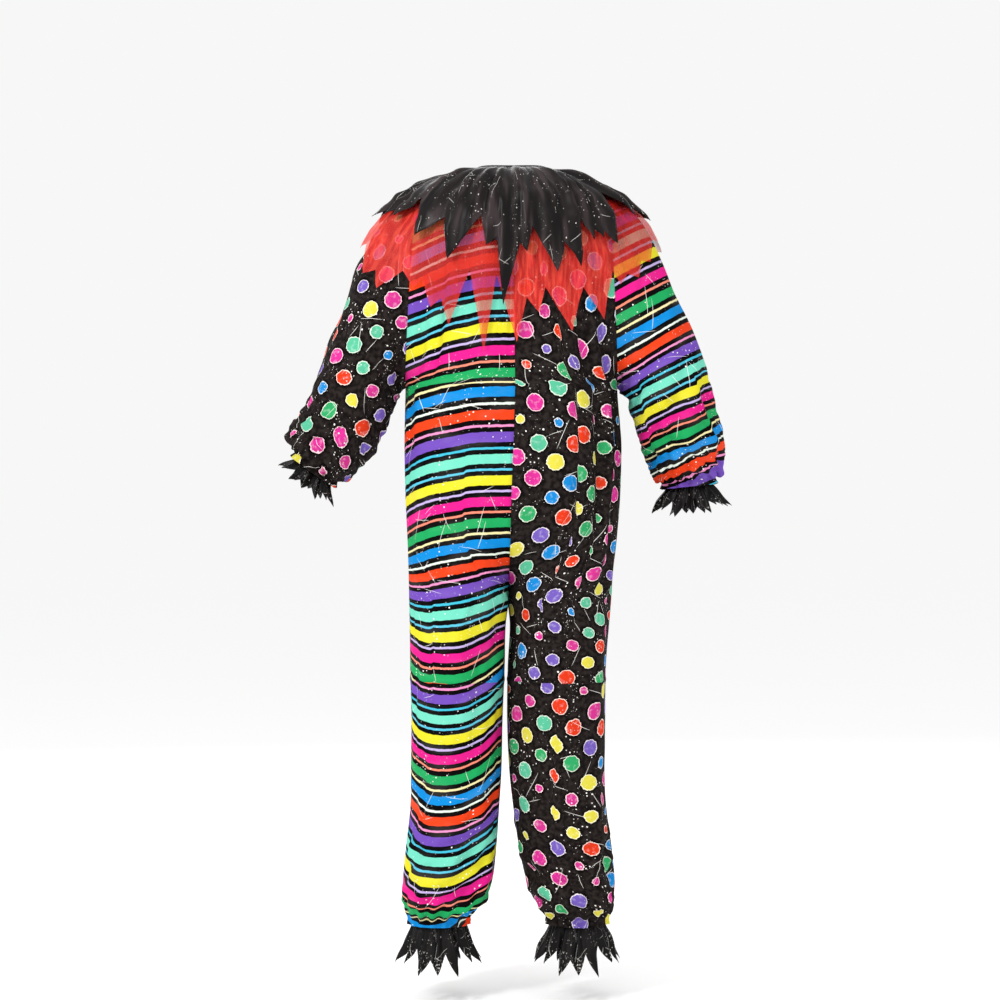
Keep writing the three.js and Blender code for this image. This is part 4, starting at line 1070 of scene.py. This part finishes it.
def collar(name, points, below, rows, lift, wave, drop, flare, slack, seed):
    turns, lengths, k = collar_edge(points)
    reach = draped(reach_over(tree_of(below), turns)) + lift
    start = band_point(turns, drop, COLLAR_CLEAR)
    ways = directions(turns[None, :], PATH_DOWNS[:, None])
    lines = COLLAR_CENTRE + ways * reach[..., None]
    side = np.abs(np.sin(turns)) ** 8
    grid = np.zeros((rows + 1, len(turns), 3))
    share = np.linspace(0, 1, rows + 1)
    for i in range(len(turns)):
        clear = np.hypot(lines[:, i, 0], lines[:, i, 1]) > np.hypot(*start[i, :2]) + 0.005
        path = np.vstack([start[i], lines[clear, i]])
        walked = arc(path[:, None], 0)[:, 0]
        for axis in range(3):
            grid[:, i, axis] = np.interp(lengths[i] * share, walked, path[:, axis])
    away = unit(grid - COLLAR_CENTRE)
    share = share[:, None]
    out = wave * (1 - np.cos(math.pi * k))[None] / 2 * smooth(share * 1.4)
    out = out + flare * side * smooth(share) * share
    fall = lengths[None] * share
    x, y = COLLAR_RADIUS * np.sin(turns)[None], COLLAR_RADIUS * np.cos(turns)[None]
    gathers = crumple(x + 0 * fall, y + 0 * fall, seed, 0.055, 0.055)
    out = out + slack * (gathers + 1.4) * smooth(fall / 0.05) * (1 - 0.6 * smooth((fall - 0.06) / 0.12))
    flutter = crumple(x + fall, y - fall, seed + 1, 0.12, 0.12)
    out = out + 0.6 * slack * (flutter + 1.5) * smooth(fall / 0.12)
    lap = np.exp(-(((turns + 0.01) / 0.10) ** 2)) * (turns < -0.01)
    out = out + 0.6 * slack * lap[None] * smooth(fall / 0.01) * (1 - smooth((fall - 0.10) / 0.03))
    grid = grid + away * out[..., None]
    s = COLLAR_PRINT_RADIUS * np.append(turns, turns[0] + 2 * math.pi)
    s, t = np.broadcast_to(s, (rows + 1, len(s))), closed(fall)
    piece = cloth_mesh(name + "_cloth", grid, s, t, ring=True)
    return piece


suit = panels + sleeves
mesh_collar = collar(
    "mesh_collar", MESH_POINTS, suit, rows=44, lift=0.004, wave=0.003, drop=0.0055,
    flare=0.004, slack=0.0014, seed=91,
)
sew_in(mesh_collar, "mesh_collar", mesh_cloth())

# ---- Satin collar ------------------------------------------------------------------------------
# A shorter round of black satin over the mesh, cut into points of many lengths and gathered into
# the same band, so that soft folds run out from the neck.

SATIN_POINTS = table(
    POINT_COLUMNS,
    (-88, 0.152, -80, 0.202),
    (-77, 0.162, -73, 0.190),
    (-66, 0.120, -60, 0.224),
    (-54, 0.196, -51, 0.208),
    (-48, 0.190, -46, 0.210),
    (-41, 0.168, -39, 0.252),
    (-32, 0.202, -27, 0.252),
    (-13, 0.164, -9, 0.210),
    (-5, 0.192, 6, 0.300),
    (10, 0.184, 16, 0.202),
    (21, 0.146, 37, 0.236),
    (42, 0.162, 55, 0.206),
    (60, 0.136, 71, 0.184),
    (74, 0.172, 77, 0.192),
    (80, 0.176, 85, 0.208),
)
satin_collar = collar(
    "satin_collar", SATIN_POINTS, suit + [mesh_collar], rows=34, lift=0.004, wave=0.007, drop=0.0022,
    flare=0.0, slack=0.0036, seed=97,
)
hem_to_shell(satin_collar, FRILL_CLOTH)
sew_in(satin_collar, "satin_collar", SATIN)

# ---- Neckband ----------------------------------------------------------------------------------
# A narrow strip of black cloth, folded over the gathered tops of body and collars and sewn through.

BAND_THICKNESS = 0.003
BAND_HEIGHT = 0.012
BAND_FLAT = (0.43, 0.028)
BAND_PRINT_RADIUS = 0.066
STITCH = 0.0032
STITCH_ROW = 0.0095


def band_cloth():
    cloth = Cloth("neck binding")
    ground = cloth.noise(0.004, 3.0).mixed(tint("#0d0c0d"), tint("#1e1b1d"))
    stitch = (cloth.s * (2 * math.pi / STITCH)).math("SINE")
    row = 1 - (cloth.t - STITCH_ROW).math("ABSOLUTE").over(0.0003, 0.0008)
    lift = cloth.noise(0.005, 3.0, (0.5, 2)) + stitch * row * 0.8
    return cloth.finish(ground, 0.6, cloth.bump(lift, 0.5, 0.001), sheen=0.1)


def neckband():
    turns = np.linspace(0, 2 * math.pi, 160, endpoint=False)
    section = [(BAND_HEIGHT, -BAND_THICKNESS), (BAND_HEIGHT * 0.5, -0.0030), (0.0010, -0.0028)]
    section += [(0, -0.0016), (0.0006, -0.0006), (0.0020, 0), (BAND_HEIGHT * 0.5, 0.0004)]
    section += [(BAND_HEIGHT - 0.001, 0.0003), (BAND_HEIGHT, 0)]
    points = np.stack([band_point(turns, drop, grow) for drop, grow in section])
    ripple = 0.0004 * np.sin(turns * 46)[None, :, None]
    points = points + unit(points * (1, 1, 0)) * ripple
    round_ = BAND_PRINT_RADIUS * np.append(turns, 2 * math.pi)
    s, t = np.meshgrid(round_, np.linspace(0, BAND_FLAT[1], len(points)))
    piece = cloth_mesh("neckband_cloth", points, s, t, ring=True, flip=True)
    hem_to_shell(piece, FRILL_CLOTH)
    sew_in(piece, "neckband", band_cloth())


neckband()

# ---- Studio ------------------------------------------------------------------------------------
# A pale floor where the wearer's soles would be, soft even light, and a camera behind the suit.

FLOOR_Z = -1.557
CAMERA_AWAY = 4.2
FRAME_WIDTH = 1.88
SENSOR_MM = 36
WORLD_LIGHT = 0.93
LAMPS = (
    ("key light", (2.2, 2.6, 1.8), 0.9, 85),
    ("fill light", (-2.4, 3.0, 0.2), 2.0, 14),
    ("front light", (0.5, -3.0, 1.0), 2.0, 40),
)
AIM = Vector((0.0226, 0.0, -0.626))


def aimed(name, data, place):
    """A lamp or camera at a place, turned to the suit."""
    made = bpy.data.objects.new(name, data)
    made.location = place
    made.rotation_euler = (AIM - Vector(place)).to_track_quat("-Z", "Y").to_euler()
    bpy.context.scene.collection.objects.link(made)
    return made


def studio():
    bpy.ops.mesh.primitive_plane_add(size=160, location=(0, 0, FLOOR_Z))
    floor = bpy.context.object
    floor.name = "studio_floor"
    paper = bpy.data.materials.new("studio paper")
    paper.use_nodes = True
    shader = paper.node_tree.nodes["Principled BSDF"]
    shader.inputs["Base Color"].default_value = (1, 1, 1, 1)
    shader.inputs["Roughness"].default_value = 1.0
    shader.inputs["Specular IOR Level"].default_value = 0.0
    floor.data.materials.append(paper)
    world = bpy.data.worlds.new("studio")
    world.use_nodes = True
    light = world.node_tree.nodes["Background"].inputs
    light["Color"].default_value = (1, 1, 1, 1)
    light["Strength"].default_value = WORLD_LIGHT
    bpy.context.scene.world = world
    for name, place, size, watts in LAMPS:
        light = bpy.data.lights.new(name, "AREA")
        light.size = size
        light.energy = watts
        aimed(name, light, place)
    lens = bpy.data.cameras.new("camera")
    lens.sensor_width = SENSOR_MM
    lens.lens = SENSOR_MM * CAMERA_AWAY / FRAME_WIDTH
    bpy.context.scene.camera = aimed("camera", lens, AIM + Vector((0, CAMERA_AWAY, 0)))
    bpy.context.scene.view_settings.view_transform = "Standard"


studio()
